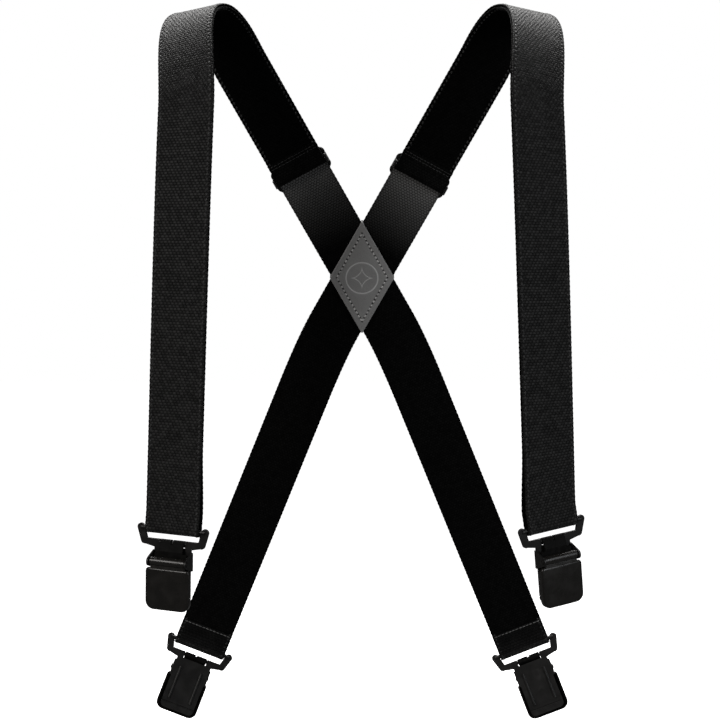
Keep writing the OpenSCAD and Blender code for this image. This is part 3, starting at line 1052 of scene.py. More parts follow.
@dataclass
class Workshop:
    """The trees and shader groups that the sub-assemblies share."""

    effects: EffectLibrary = field(default_factory=EffectLibrary)
    webbing: WebbingTree = field(default_factory=WebbingTree)
    stitches: StitchTree = field(default_factory=StitchTree)
    ridges: RidgeTree = field(default_factory=RidgeTree)

    def paint(self, finish: Finish) -> bpy.types.Material:
        """A finish's material."""
        return finish.material(self.effects)


# The straps' route


def unit(vector: np.ndarray) -> np.ndarray:
    """A vector's direction."""
    return vector / np.linalg.norm(vector)


def ramp(share: float) -> float:
    """A smooth step from 0 to 1."""
    held = min(1.0, max(0.0, share))
    return held * held * (3 - 2 * held)


@dataclass(frozen=True)
class Knot:
    """A point the webbing passes, its direction there, the across line's turn and dip, and the pull."""

    point: np.ndarray
    direction: np.ndarray
    turn: float
    dip: float
    pull: float


@dataclass(frozen=True)
class Station:
    """One cross-section of a strip: its middle, the line across it and its face's direction."""

    point: np.ndarray
    across: np.ndarray
    facing: np.ndarray


@dataclass(frozen=True)
class BarFrame:
    """A bar that webbing turns round: its middle, the outward and upward directions, and its line."""

    middle: np.ndarray
    outward: np.ndarray
    up: np.ndarray
    across: np.ndarray

    def at(self, out: float, up: float, across: float = 0.0) -> np.ndarray:
        """A point beside the bar."""
        return self.middle + out * self.outward + up * self.up + across * self.across


@dataclass
class WebSizes:
    """The webbing's sizes and how far its layers and turns stand apart."""

    width: float = 38 * MM
    thickness: float = 1.6 * MM
    layer_gap: float = 0.3 * MM
    bar_radius: float = 1.5 * MM
    glide_bar_radius: float = 1.2 * MM
    bar_clearance: float = 0.1 * MM
    front_leg: float = 12 * MM
    rear_leg: float = 30 * MM
    loop_leg: float = 16 * MM
    turn_up: float = 16 * MM
    cross_shift: float = 0.95 * MM

    @property
    def layer(self) -> float:
        """From one layer's middle to the next one's."""
        return self.thickness + self.layer_gap

    @property
    def turn_radius(self) -> float:
        """The middle of the webbing from the middle of a clip's bar."""
        return self.bar_radius + self.bar_clearance + self.thickness / 2

    @property
    def loop_radius(self) -> float:
        """The middle of the webbing from the middle of the adjuster's bar."""
        return self.glide_bar_radius + self.bar_clearance + self.thickness / 2


class Route:
    """The line that one side's webbing follows, from its front fold at 0 to its rear end at 6."""

    SHOULDER = 2
    BACK_TOP = 3
    REAR_END = 6
    LEAN_SPAN = 0.28
    SPREAD_SPAN = 0.16
    YAW = (27.0, 20.0)
    LEAN = (8.0, 2.5)
    FRONT_DROP = (334 * MM, 336.5 * MM)
    GLIDE_DROP = (85.9 * MM, 81.1 * MM)
    SHOULDER_DIP = 6.0
    PAST_CROSS = 38 * MM

    def __init__(self, side: Side, web: WebSizes) -> None:
        """Sets the knots.

        Args:
            side: the strap.
            web: the webbing's sizes.
        """
        self.side = side
        self.web = web
        self.lean = math.radians(self.LEAN[side.number])
        yaw, dip = self.YAW[side.number], self.SHOULDER_DIP
        front = np.array([121.5 * MM, -70 * MM, -self.FRONT_DROP[side.number]])
        chest = np.array([114, -63, -74]) * MM
        shoulder_drop = (web.thickness + web.width * math.sin(math.radians(dip))) / 2
        shoulder = np.array([106 * MM, 0, -shoulder_drop])
        self.back_top = np.array([82, 31, -38.5]) * MM
        self.crossing = np.array([0, 75, -180]) * MM
        back = unit(self.crossing - self.back_top)
        self.straight = float(np.linalg.norm(self.crossing - self.back_top)) + self.PAST_CROSS
        self.glide = self.BACK_TOP + self.GLIDE_DROP[side.number] / self.straight
        self.bend = np.array([-46.5, 97.5, -273]) * MM
        self.rear = np.array([-119, 130, -449.5]) * MM
        tail = unit(self.rear - self.bend)
        over = math.radians(31)
        self.knots = [
            Knot(front, unit(np.array([-0.03, 0, 1])), yaw, 0, 1),
            Knot(chest, unit(np.array([-0.025, 0.2, 1])), yaw - 3, 0, 1),
            Knot(shoulder, np.array([-math.sin(over), math.cos(over), 0]), 31, -dip, 1.1),
            Knot(self.back_top, back, 0, 0, 1.1),
            Knot(self.back_top + self.straight * back, back, 0, 0, 0.9),
            Knot(self.bend, tail, 0, 0, 1),
            Knot(self.rear, tail, 0, 0, 1),
        ]

    def point(self, t: float) -> np.ndarray:
        """A place on the route.

        Args:
            t: how far along, in knots.

        Returns:
            The point.
        """
        i = min(int(t), self.REAR_END - 1)
        a, b, f = self.knots[i], self.knots[i + 1], t - i
        reach = np.linalg.norm(b.point - a.point) * (a.pull + b.pull) / 2
        return (
            (2 * f**3 - 3 * f**2 + 1) * a.point
            + (f**3 - 2 * f**2 + f) * reach * a.direction
            + (3 * f**2 - 2 * f**3) * b.point
            + (f**3 - f**2) * reach * b.direction
        )

    def heading(self, t: float) -> np.ndarray:
        """The route's direction.

        Args:
            t: how far along, in knots.

        Returns:
            A unit vector.
        """
        step = 0.002
        low, high = max(0.0, t - step), min(float(self.REAR_END), t + step)
        return unit(self.point(high) - self.point(low))

    def outward(self, t: float) -> np.ndarray:
        """The direction away from the wearer.

        Args:
            t: how far along, in knots.

        Returns:
            A unit vector square to the webbing.
        """
        i = min(int(t), self.REAR_END - 1)
        f = ramp(t - i)
        a, b = self.knots[i], self.knots[i + 1]
        turn = math.radians(a.turn + (b.turn - a.turn) * f)
        dip = math.radians(a.dip + (b.dip - a.dip) * f)
        line = np.array([math.cos(turn), math.sin(turn), math.sin(dip)])
        return unit(np.cross(line, self.heading(t)))

    def inset(self, t: float) -> float:
        """How far inside the outer layer the inner one lies."""
        spread = 2 * self.web.turn_radius - self.web.layer
        return self.web.layer + spread * (1 - ramp(t / self.SPREAD_SPAN))

    def station(self, t: float, inner: bool = False) -> Station:
        """A cross-section on the route.

        Args:
            t: how far along, in knots.
            inner: whether it is on the inner layer, which faces the wearer.

        Returns:
            The station.
        """
        n, h = self.outward(t), self.heading(t)
        w = np.cross(h, n)
        lean = self.lean * (1 - ramp(t / self.LEAN_SPAN))
        across = math.cos(lean) * w + math.sin(lean) * h
        depth = self.inset(t) if inner else 0.0
        return Station(self.point(t) - depth * n, across, -n if inner else n)

    def run(self, start: float, stop: float, pace: float, inner: bool = False) -> list[Station]:
        """Stations at an even pace.

        Args:
            start: where the run starts, in knots.
            stop: where it stops.
            pace: the distance between stations.
            inner: whether it is on the inner layer.

        Returns:
            The stations, both ends included.
        """
        fine = np.linspace(start, stop, 800)
        places = np.array([self.point(t) for t in fine])
        gone = np.concatenate([[0], np.cumsum(np.linalg.norm(np.diff(places, axis=0), axis=1))])
        count = max(2, round(gone[-1] / pace))
        return [self.station(float(t), inner) for t in np.interp(np.linspace(0, gone[-1], count), gone, fine)]

    def front_frame(self) -> "BarFrame":
        """The front clip's bar."""
        n, h = self.outward(0), self.heading(0)
        up = math.cos(self.lean) * h - math.sin(self.lean) * np.cross(h, n)
        middle = self.point(0) - self.web.front_leg * up - self.web.turn_radius * n
        return BarFrame(middle, n, up, np.cross(up, n))

    def rear_frame(self) -> "BarFrame":
        """The rear clip's bar."""
        return self._facing_down(float(self.REAR_END), self.web.turn_radius)

    def glide_frame(self) -> "BarFrame":
        """The adjuster's middle bar."""
        return self._facing_down(self.glide, self.web.layer + self.web.loop_radius)

    def _facing_down(self, t: float, depth: float) -> "BarFrame":
        """A bar behind a stretch of the route that runs downwards."""
        n, h = self.outward(t), self.heading(t)
        return BarFrame(self.point(t) - depth * n, n, -h, np.cross(h, n))

    def placed(self, points: np.ndarray, shift: bool = True) -> np.ndarray:
        """Points or directions moved from the drawn side to this one.

        Args:
            points: one row each.
            shift: False for directions.

        Returns:
            The points in the row frame.
        """
        moved = points * np.array([self.side.sign, 1, 1])
        if shift:
            moved = moved + np.array([0, self.side.sign * self.web.cross_shift, 0])
        return moved


def turn(
    bar: BarFrame,
    radius: float,
    outer_leg: float,
    inner_leg: float,
    close: float,
    pace: float,
    faces_bar: bool = False,
) -> list[Station]:
    """Stations down a leg, round a bar and up the other leg.

    Args:
        bar: the bar.
        radius: the webbing's middle from the bar's.
        outer_leg: the outer leg's height.
        inner_leg: the inner leg's height.
        close: how far the inner leg closes in.
        pace: the distance between stations.
        faces_bar: whether the webbing's face is towards the bar.

    Returns:
        The stations, from the top of the outer leg.
    """
    sign = -1.0 if faces_bar else 1.0
    stations = []
    for height in np.linspace(outer_leg, 0, max(2, round(outer_leg / pace)), endpoint=False):
        stations.append(Station(bar.at(radius, height), bar.across, sign * bar.outward))
    for angle in np.linspace(0, math.pi, 15):
        radial = math.cos(angle) * bar.outward - math.sin(angle) * bar.up
        stations.append(Station(bar.middle + radius * radial, bar.across, sign * radial))
    closing = 2.6 * close
    for height in np.linspace(0, inner_leg, max(2, round(inner_leg / pace)) + 1)[1:]:
        inward = close * ramp(height / closing) if close else 0.0
        slope = (close * ramp((height + 1e-5) / closing) - inward) / 1e-5 if close else 0.0
        facing = unit(-bar.outward - slope * bar.up)
        stations.append(Station(bar.at(inward - radius, height), bar.across, sign * facing))
    return stations


# Straps


@dataclass
class Strip:
    """A strip of webbing laid over its stations, with thickness and selvedges."""

    name: str
    stations: list[Station]
    route: Route
    web: WebSizes
    round_start: bool = False
    round_end: bool = False
    length_before: float = 0.0
    # Painted highlight: the span along the strip where it is lighter, fading towards the span's end.
    light_paint: tuple[float, float] = (0.0, 0.0)
    # Painted shade: the length of the end that is painted darker.
    painted_shade_end: float = 0.0
    nub_inset: float = 2.0 * MM
    roll: float = 0.75 * MM
    scallop: float = 0.14 * MM
    nub_pitch: float = 3.3 * MM
    columns: int = 14

    def lengths(self) -> np.ndarray:
        """How far along the strip each station lies."""
        points = np.array([s.point for s in self.stations])
        steps = np.linalg.norm(np.diff(points, axis=0), axis=1)
        return np.concatenate([[0], np.cumsum(steps)])

    def offsets(self) -> np.ndarray:
        """Each column's distance from the strip's middle line."""
        half = self.web.width / 2
        from_edge = self.roll * (1 - np.cos(np.linspace(0, math.pi / 2, 6)))
        inner = half - self.nub_inset
        middle = np.linspace(-inner, inner, self.columns)
        return np.concatenate([-half + from_edge, middle, (half - from_edge)[::-1]])

    def build(
        self, shop: Workshop, back: Finish, face: Finish, nub: "ThreadFinish" = SELVEDGE
    ) -> bpy.types.Object:
        """Makes the strip.

        Args:
            shop: the shared trees and groups.
            back: the finish of the face towards the other layer.
            face: the finish of the face that shows.
            nub: the finish of the selvedge nubs.

        Returns:
            The strip as plain mesh, at rest.
        """
        along, across = self.lengths(), self.offsets()
        rows, columns = len(along), len(across)
        middle = self.route.placed(np.array([s.point for s in self.stations]))
        sideways = self.route.placed(np.array([s.across for s in self.stations]), shift=False)
        facing = self.route.placed(np.array([s.facing for s in self.stations]), shift=False)
        half = self.web.width / 2
        wave = np.sin(2 * math.pi * (along + self.length_before) / self.nub_pitch)
        reach = np.clip((np.abs(across) - half + 3 * self.roll) / (3 * self.roll), 0, 1)
        swing = self.scallop * wave[:, None] * (reach * np.sign(across))[None, :]
        spread = across[None, :] + swing
        points = middle[:, None, :] + spread[:, :, None] * sideways[:, None, :]
        distance = np.repeat((half - np.abs(across))[None, :], rows, axis=0)
        if self.round_start:
            distance = np.minimum(distance, along[:, None])
        if self.round_end:
            distance = np.minimum(distance, (along[-1] - along)[:, None])
        number = np.arange(rows * columns).reshape(rows, columns)
        a, b = number[:-1, :-1], number[1:, :-1]
        c, d = number[1:, 1:], number[:-1, 1:]
        faces = np.stack([a, b, c, d], axis=-1).reshape(-1, 4)
        step = points[1, 0] - points[0, 0]
        side_step = points[0, 1] - points[0, 0]
        if np.dot(np.cross(step, side_step), facing[0]) < 0:
            faces = faces[:, ::-1]
        mesh = mesh_from(self.name, points.reshape(-1, 3), faces)
        self._mark(mesh, distance, across, facing, sideways, points)
        self._map(mesh, along, across)
        mesh.materials.append(shop.paint(face))
        item = new_object(self.name, mesh)
        shop.webbing.apply(
            item,
            Thickness=self.web.thickness,
            Roll=self.roll,
            Nub_Pitch=self.nub_pitch,
            Back_Face=shop.paint(back),
            Nub=shop.paint(nub),
        )
        return item

    def _mark(
        self,
        mesh: bpy.types.Mesh,
        distance: np.ndarray,
        across: np.ndarray,
        facing: np.ndarray,
        sideways: np.ndarray,
        points: np.ndarray,
    ) -> None:
        """Stores what the webbing tree and the finish read.

        Args:
            mesh: the strip's mesh.
            distance: each point's distance from a free edge.
            across: each column's distance from the middle line.
            facing: each station's facing direction.
            sideways: each station's across line.
            points: every point, by row and column.
        """
        rows, columns = distance.shape
        inner = self.web.width / 2 - self.nub_inset
        line = np.isclose(np.abs(across), inner).astype(np.float32)
        start, end = self.light_paint
        along = self.lengths()
        # Painted highlight: lightest up to the span's start, fading to nothing at its end.
        light_paint_share = np.clip((end - along) / max(end - start, 1 * MM), 0, 1) ** 1.5 * (end > start)
        # Painted shade on the turned-up end.
        light_paint_share -= np.clip((along - along[-1] + self.painted_shade_end) / MM, 0, 1)
        mark = np.clip(1 - distance / self.nub_inset, 0, 1)
        ahead = np.gradient(points[:, columns // 2, :], axis=0)
        slanted = ahead / np.linalg.norm(ahead, axis=1)[:, None] + 0.35 * sideways
        for name, values in (
            ("edge_distance", distance),
            ("nub_line", np.repeat(line[None, :], rows, axis=0)),
            (EDGE_MARK, mark),
            (PAINTED_LIGHT_MARK, np.repeat(light_paint_share[:, None], columns, axis=1)),
        ):
            store(mesh, name, values)
        for name, vectors in ((OUTWARD, facing), (TANGENT, slanted)):
            store(mesh, name, np.repeat(vectors[:, None, :], columns, axis=1), vector=True)

    def _map(self, mesh: bpy.types.Mesh, along: np.ndarray, across: np.ndarray) -> None:
        """Lays the cloth map in metres: across, then along.

        Args:
            mesh: the strip's mesh.
            along: each row's place along the strip.
            across: each column's place across it.
        """
        grid = np.stack(np.meshgrid(across, along + self.length_before), axis=-1).reshape(-1, 2)
        corner = np.zeros(len(mesh.loops), dtype=np.int32)
        mesh.loops.foreach_get("vertex_index", corner)
        layer = mesh.uv_layers.new(name=CLOTH_MAP)
        layer.data.foreach_set("uv", grid[corner].astype(np.float32).ravel())


@dataclass
class Strap:
    """One side's webbing: over the shoulder and round the front bar, the return layer, and the back."""

    side: Side
    web: WebSizes = field(default_factory=WebSizes)
    pace: float = 1.1 * MM
    chest_start: float = -0.15
    # Painted highlight on the back strap below the adjuster, fading downwards.
    glide_painted_light: tuple[float, float] = (4 * MM, 62 * MM)
    stitch_pitch: float = 2.6 * MM

    def __post_init__(self) -> None:
        """Finds the route."""
        self.route = Route(self.side, self.web)
        self.word = self.side.value

    def nodes(self, *names: str) -> list[str]:
        """The side's CAD nodes by their short names."""
        return [f"{self.word}_{name}" for name in names]

    def place(self, point: np.ndarray) -> tuple[float, ...]:
        """A drawn point in the row frame."""
        return tuple(float(v) for v in self.route.placed(point))

    def build(self, shop: Workshop) -> None:
        """Makes the side's strips and seams.

        Args:
            shop: the shared trees and groups.
        """
        self.front_webbing(shop)
        self.return_webbing(shop)
        self.back_webbing(shop)
        self.seams(shop)

    def front_webbing(self, shop: Workshop) -> None:
        """Webbing from under the adjuster, over the shoulder, round the front bar and up inside.

        Args:
            shop: the shared trees and groups.
        """
        route, web = self.route, self.web
        bar = route.front_frame()
        stations = route.run(route.glide, 0.0, self.pace)[:-1]
        legs = turn(bar, web.turn_radius, web.front_leg, web.front_leg, 0.0, self.pace)
        stations += legs[:-1]
        stations += route.run(0.0, float(route.SHOULDER), self.pace, inner=True)
        strip = Strip(f"{self.word}_front_webbing", stations, route, web)
        item = strip.build(shop, RIBBED, TWILL)
        fold_top = float(bar.at(0.0, web.front_leg)[2])
        x, y, _ = self.place(route.point(0.0))
        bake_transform(item)
        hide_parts(*self.nodes("shoulder_web", "chest_web", "front_fold", "return_chest_web"))

    def return_webbing(self, shop: Workshop) -> None:
        """The inner layer from the shoulder down to the adjuster's middle bar, and round it.

        Args:
            shop: the shared trees and groups.
        """
        route, web = self.route, self.web
        leg_top = route.glide - web.loop_leg / route.straight
        stations = route.run(float(route.SHOULDER), leg_top, self.pace, inner=True)[:-1]
        close = 2 * (web.glide_bar_radius + web.bar_clearance) - 0.02 * MM
        bar = route.glide_frame()
        inner_leg = web.loop_leg - 2 * MM
        stations += turn(bar, web.loop_radius, web.loop_leg, inner_leg, close, self.pace, faces_bar=True)
        strip = Strip(f"{self.word}_return_webbing", stations, route, web, round_end=True)
        # The return layer's face and nubs are darker copies of the twill and the selvedge thread: painted
        # shade.
        item = strip.build(shop, RIBBED, SHADED_TWILL, SHADED_SELVEDGE)
        start = self.place(route.point(3.02))
        end = self.place(route.point(leg_top))
        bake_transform(item)
        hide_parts(*self.nodes("return_shoulder_web", "return_back_web", "return_loop"))

    def back_webbing(self, shop: Workshop) -> None:
        """Webbing from under the adjuster through the crossing to the rear bar, with its turn-up.

        Args:
            shop: the shared trees and groups.
        """
        route, web = self.route, self.web
        span = float(np.linalg.norm(route.rear - route.bend))
        leg_top = route.REAR_END - web.rear_leg / span
        stations = route.run(route.glide, leg_top, self.pace)[:-1]
        close = 2 * (web.bar_radius + web.bar_clearance) - 0.02 * MM
        bar = route.rear_frame()
        stations += turn(bar, web.turn_radius, web.rear_leg, web.turn_up, close, self.pace)
        # A painted highlight below the adjuster, and painted shade on the turn-up.
        strip = Strip(
            f"{self.word}_back_webbing", stations, route, web, round_end=True,
            light_paint=self.glide_painted_light, painted_shade_end=web.turn_up,
        )
        # Its nubs take the darker copy of the selvedge thread: painted shade.
        item = strip.build(shop, RIBBED, TWILL, SHADED_SELVEDGE)
        self.place(route.point(4.5))
        self.place(route.point(leg_top))
        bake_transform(item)
        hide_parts(*self.nodes("back_web", "rear_web", "rear_fold"))

    def seams(self, shop: Workshop) -> None:
        """Rows of stitches through each turned end.

        Args:
            shop: the shared trees and groups.
        """
        web, route = self.web, self.route
        outside = web.turn_radius + web.thickness / 2
        self._rows(
            shop, TURN_UP_THREAD, f"{self.word}_rear_seam", route.rear_frame(), (web.turn_up - 1.2 * MM,),
            (outside, outside - 2 * web.thickness - 0.02 * MM), f"{self.word}_rear_end", "rear_seam",
        )
        outside = web.loop_radius + web.thickness / 2
        self._rows(
            shop, SEAM, f"{self.word}_return_seam", route.glide_frame(),
            (web.loop_leg - 6 * MM, web.loop_leg - 4 * MM),
            (outside - 2 * web.thickness - 0.02 * MM,), f"{self.word}_glide", "return_seam",
        )

    def _rows(
        self,
        shop: Workshop,
        thread: ThreadFinish,
        name: str,
        bar: BarFrame,
        heights: tuple[float, ...],
        depths: tuple[float, ...],
        body: str,
        node: str,
    ) -> None:
        """Rows of stitches across a turned end.

        Args:
            shop: the shared trees and groups.
            thread: the thread's finish.
            name: the piece's name.
            bar: the bar that the end turns round.
            heights: the rows' heights over the bar.
            depths: how far outward of the bar each stitched face lies.
            body: the CAD body it rides on.
            node: the short name of the node it stands for.
        """
        half = self.web.width / 2 - 2.6 * MM
        count = round(2 * half / self.stitch_pitch)
        points, facings = [], []
        for number, depth in enumerate(depths):
            outside = number == 0 and len(depths) > 1
            for height in heights:
                for x in np.linspace(-half, half, count):
                    points.append(bar.at(depth, height, x))
                    facings.append(bar.outward if outside else -bar.outward)
        mesh = mesh_from(name, self.route.placed(np.array(points)), [])
        total = len(points)
        for label, vectors in (
            (OUTWARD, self.route.placed(np.array(facings), shift=False)),
            (TANGENT, np.repeat(self.route.placed(bar.across[None, :], shift=False), total, axis=0)),
        ):
            store(mesh, label, vectors, vector=True)
        item = new_object(name, mesh)
        shop.stitches.apply(
            item, Length=2.5 * MM, Width=0.6 * MM, Height=0.5 * MM, Thread=shop.paint(thread)
        )
        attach(item, body)
        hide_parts(f"{self.word}_{node}")
        LOG.info("%s: %d stitches", name, total)


# Patches


@dataclass
class Patch:
    """A leather lozenge over the crossing, sewn near its rim."""

    name: str
    outer: bool
    web: WebSizes = field(default_factory=WebSizes)
    thickness: float = 1.4 * MM
    corner: float = 0.6 * MM
    cut: float = 0.9 * MM
    over: float = 0.9 * MM
    stitch_inset: float = 4.4 * MM
    stitches_a_side: int = 12
    ring_radius: float = 11.3 * MM
    rings: int = 120
    around: int = 320

    def __post_init__(self) -> None:
        """Works out the lozenge from the straps that it covers."""
        self.route = Route(Side.LEFT, self.web)
        top, cross = self.route.back_top, self.route.crossing
        drop, back = top[2] - cross[2], cross[1] - top[1]
        angle = math.atan2(top[0], math.hypot(drop, back))
        self.tilt = math.atan2(back, drop)
        reach = self.web.width / 2 + self.over
        self.half_width = reach / math.cos(angle) - self.cut / 2 + self.corner
        self.half_height = reach / math.sin(angle) - self.cut + self.corner
        self.inner_face = -(self.web.thickness / 2 + self.web.cross_shift * math.cos(self.tilt)) - 0.05 * MM

    def corners(self) -> list[np.ndarray]:
        """The middles of the outline's corner arcs, round from the right."""
        w, h = self.half_width - self.corner, self.half_height - self.corner
        return [np.array(p) for p in ((w, 0.0), (0.0, h), (-w, 0.0), (0.0, -h))]

    def sides(self) -> list[tuple[np.ndarray, float]]:
        """Each straight side's outward direction and its distance from the middle."""
        found = []
        corners = self.corners()
        for a, b in zip(corners, corners[1:] + corners[:1]):
            along = unit(b - a)
            away = np.array([along[1], -along[0]])
            found.append((away, float(a @ away) + self.corner))
        return found

    def rim_distance(self, flat: np.ndarray) -> np.ndarray:
        """How far each flat point lies from the rim.

        Args:
            flat: the points, one row each.

        Returns:
            The distances, above 0 inside.
        """
        return np.min([reach - flat @ away for away, reach in self.sides()], axis=0)

    def outline(self, count: int) -> np.ndarray:
        """Points round the rim.

        Args:
            count: how many.

        Returns:
            The points, evenly spaced in angle round each corner and along each side.
        """
        corners, sides = self.corners(), self.sides()
        path = []
        for i, middle in enumerate(corners):
            before, after = sides[i - 1][0], sides[i][0]
            start = math.atan2(before[1], before[0])
            sweep = (math.atan2(after[1], after[0]) - start) % (2 * math.pi)
            for angle in np.linspace(start, start + sweep, 9):
                path.append(middle + self.corner * np.array([math.cos(angle), math.sin(angle)]))
        loop = np.array(path + path[:1])
        gone = np.concatenate([[0], np.cumsum(np.linalg.norm(np.diff(loop, axis=0), axis=1))])
        places = np.linspace(0, gone[-1], count, endpoint=False)
        return np.stack([np.interp(places, gone, loop[:, k]) for k in (0, 1)], axis=1)

    def stitch_line(self) -> tuple[np.ndarray, np.ndarray, np.ndarray]:
        """Where the stitches lie.

        Returns:
            The stitches' middles, their directions, and the holes between them.
        """
        tips = [c * (1 - self.stitch_inset / self.rim_distance(np.zeros((1, 2)))[0]) for c in self._tips()]
        middles, ways, holes = [], [], []
        for a, b in zip(tips, tips[1:] + tips[:1]):
            for i in range(self.stitches_a_side):
                middles.append(a + (b - a) * (i + 0.5) / self.stitches_a_side)
                ways.append(unit(b - a))
                holes.append(a + (b - a) * i / self.stitches_a_side)
        return np.array(middles), np.array(ways), np.array(holes)

    def _tips(self) -> list[np.ndarray]:
        """The four points where the long sides would meet."""
        reach = self.rim_distance(np.zeros((1, 2)))[0]
        return [c * reach / (reach - self.corner) for c in self.corners()]

    def relief(self, flat: np.ndarray) -> tuple[np.ndarray, np.ndarray]:
        """The face's height, and where its painted highlight lies.

        Args:
            flat: the points, one row each.

        Returns:
            The height over the back, and the mark from 0 to 1 for the painted highlight on the pressed ring
            and star and the lighter rim.
        """
        distance = self.rim_distance(flat)
        edge = 0.7 * MM
        fall = np.clip(1 - distance / edge, 0, 1)
        height = self.thickness - edge * (1 - np.sqrt(1 - fall**2))
        groove = np.exp(-(((distance - self.stitch_inset) / (0.5 * MM)) ** 2))
        crease = np.exp(-(((distance - 1.7 * MM) / (0.22 * MM)) ** 2))
        height = height - 0.16 * MM * groove - 0.07 * MM * crease
        height += 0.18 * MM * np.clip((distance - self.stitch_inset) / (5 * MM), 0, 1)
        height -= 0.4 * MM * self._holes(flat)
        rim = 0.35 * np.exp(-((distance / (0.5 * MM)) ** 2))
        if self.outer:
            return height, rim
        # The pressed ring and star also get a painted highlight.
        pressed = np.maximum(self._ring(flat), self._star(flat))
        return height - 0.24 * MM * pressed, np.maximum(pressed, rim)

    def _holes(self, flat: np.ndarray) -> np.ndarray:
        """The depth of the stitch holes from 0 to 1."""
        _, _, holes = self.stitch_line()
        away = np.min([np.linalg.norm(flat - hole, axis=1) for hole in holes], axis=0)
        return np.exp(-((away / (0.75 * MM)) ** 4))

    def _ring(self, flat: np.ndarray) -> np.ndarray:
        """The pressed ring's depth from 0 to 1."""
        away = np.linalg.norm(flat, axis=1) - self.ring_radius
        return np.exp(-((np.abs(away) / (0.5 * MM)) ** 4))

    def _star(self, flat: np.ndarray) -> np.ndarray:
        """The depth of a pressed four-point star's outline, from 0 to 1."""
        reach, power = 7.2 * MM, 0.62
        level = np.sum((np.abs(flat) / reach) ** power, axis=1)
        slope = power * np.linalg.norm((np.abs(flat) + 0.1 * MM) ** (power - 1), axis=1) / reach**power
        return np.exp(-(((level - 1) / slope / (0.33 * MM)) ** 4))

    def lifted(self, flat: np.ndarray, height: np.ndarray) -> np.ndarray:
        """Flat points and heights in the row frame.

        Args:
            flat: the points across and up, one row each.
            height: each one's height over the patch's back.

        Returns:
            The points in space.
        """
        sign = 1 if self.outer else -1
        deep = sign * (-self.inner_face + height)
        local = np.stack([flat[:, 0], deep, flat[:, 1]], axis=1)
        c, s = math.cos(self.tilt), math.sin(self.tilt)
        turned = np.stack(
            [local[:, 0], c * local[:, 1] - s * local[:, 2], s * local[:, 1] + c * local[:, 2]], axis=1
        )
        return turned + self.route.crossing

    def build(self, shop: Workshop) -> None:
        """Makes the patch and its stitches.

        Args:
            shop: the shared trees and groups.
        """
        rim = self.outline(self.around)
        middle_shares = np.linspace(0.01, 0.7, self.rings // 2)
        shares = np.concatenate([middle_shares, np.linspace(0.7, 1, self.rings)[1:]])
        face = (shares[:, None, None] * rim[None, :, :]).reshape(-1, 2)
        height, pressed = self.relief(face)
        top = self.lifted(face, height)
        back = self.lifted(rim, np.zeros(self.around))
        centre_height, _ = self.relief(np.zeros((1, 2)))
        middle = self.lifted(np.zeros((1, 2)), centre_height)
        foot = self.lifted(np.zeros((1, 2)), np.zeros(1))
        points = np.concatenate([top, back, middle, foot])
        rows = len(shares)
        number = np.arange((rows + 1) * self.around).reshape(rows + 1, self.around)
        following = np.roll(number, -1, axis=1)
        walls = np.roll(ring_bands(number)[:, ::-1], 1, axis=1)
        faces = [list(f) for f in walls]
        faces += [[rows * self.around + self.around, b, a] for a, b in zip(number[0], following[0])]
        faces += [[rows * self.around + self.around + 1, a, b] for a, b in zip(number[-1], following[-1])]
        mesh = mesh_from(self.name, points, faces)
        # The stitch holes' mark paints shade in them; the other mark paints the highlight.
        marks = {
            EDGE_MARK: np.concatenate([self._holes(face), np.zeros(self.around + 2)]),
            HIGHLIGHT_AND_RIM_MARK: np.concatenate([pressed, np.zeros(self.around + 2)]),
        }
        for label, values in marks.items():
            store(mesh, label, values)
        work = bmesh.new()
        work.from_mesh(mesh)
        bmesh.ops.recalc_face_normals(work, faces=work.faces[:])
        work.to_mesh(mesh)
        work.free()
        smoothed(mesh, 50)
        mesh.materials.append(shop.paint(OUTER_LEATHER if self.outer else LEATHER))
        item = new_object(f"{self.name}_leather", mesh)
        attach(item, "harness")
        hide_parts(self.name)
        sewn = self._stitches(shop)

    def _stitches(self, shop: Workshop) -> bpy.types.Object:
        """The stitches near the rim.

        Args:
            shop: the shared trees and groups.

        Returns:
            The piece.
        """
        middles, ways, _ = self.stitch_line()
        height, _ = self.relief(middles)
        points = self.lifted(middles, height + 0.08 * MM)
        origin = self.lifted(np.zeros((1, 2)), np.zeros(1))
        facing = self.lifted(np.zeros((1, 2)), np.ones(1)) - origin
        directions = self.lifted(ways, np.zeros(len(ways))) - origin
        mesh = mesh_from(f"{self.name}_stitches", points, [])
        for label, vectors in (
            (OUTWARD, np.repeat(facing, len(points), axis=0)),
            (TANGENT, directions),
        ):
            store(mesh, label, vectors, vector=True)
        item = new_object(f"{self.name}_stitches", mesh)
        shop.stitches.apply(
            item, Length=2.0 * MM, Width=1.15 * MM, Height=0.9 * MM, Thread=shop.paint(SEWING)
        )
        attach(item, "harness")
        return item


# Hard parts


def softened(node: str, name: str, material: bpy.types.Material, edge: float) -> bpy.types.Object:
    """A CAD node's shape with its edges rounded over.

    Args:
        node: the CAD node.
        name: the new piece's name.
        material: its material.
        edge: the rounding's width.

    Returns:
        The piece, not yet riding on its body.
    """
    work = bmesh.new()
    work.from_mesh(frame["nodes"][node].data)
    bmesh.ops.remove_doubles(work, verts=work.verts[:], dist=0.002 * MM)
    bmesh.ops.dissolve_degenerate(work, edges=work.edges[:], dist=0.002 * MM)
    bmesh.ops.dissolve_limit(
        work, angle_limit=math.radians(0.5), verts=work.verts[:], edges=work.edges[:]
    )
    mesh = mesh_of(work, name)
    mesh.materials.append(material)
    item = new_object(name, mesh)
    smoothed(mesh, 32)
    bevel = item.modifiers.new("edges", "BEVEL")
    bevel.width = edge
    bevel.segments = 2
    bevel.limit_method = "ANGLE"
    bevel.angle_limit = math.radians(32)
    bevel.miter_outer = "MITER_ARC"
    bevel.harden_normals = True
    even = item.modifiers.new("even shading", "WEIGHTED_NORMAL")
    even.keep_sharp = True
    return baked(item)


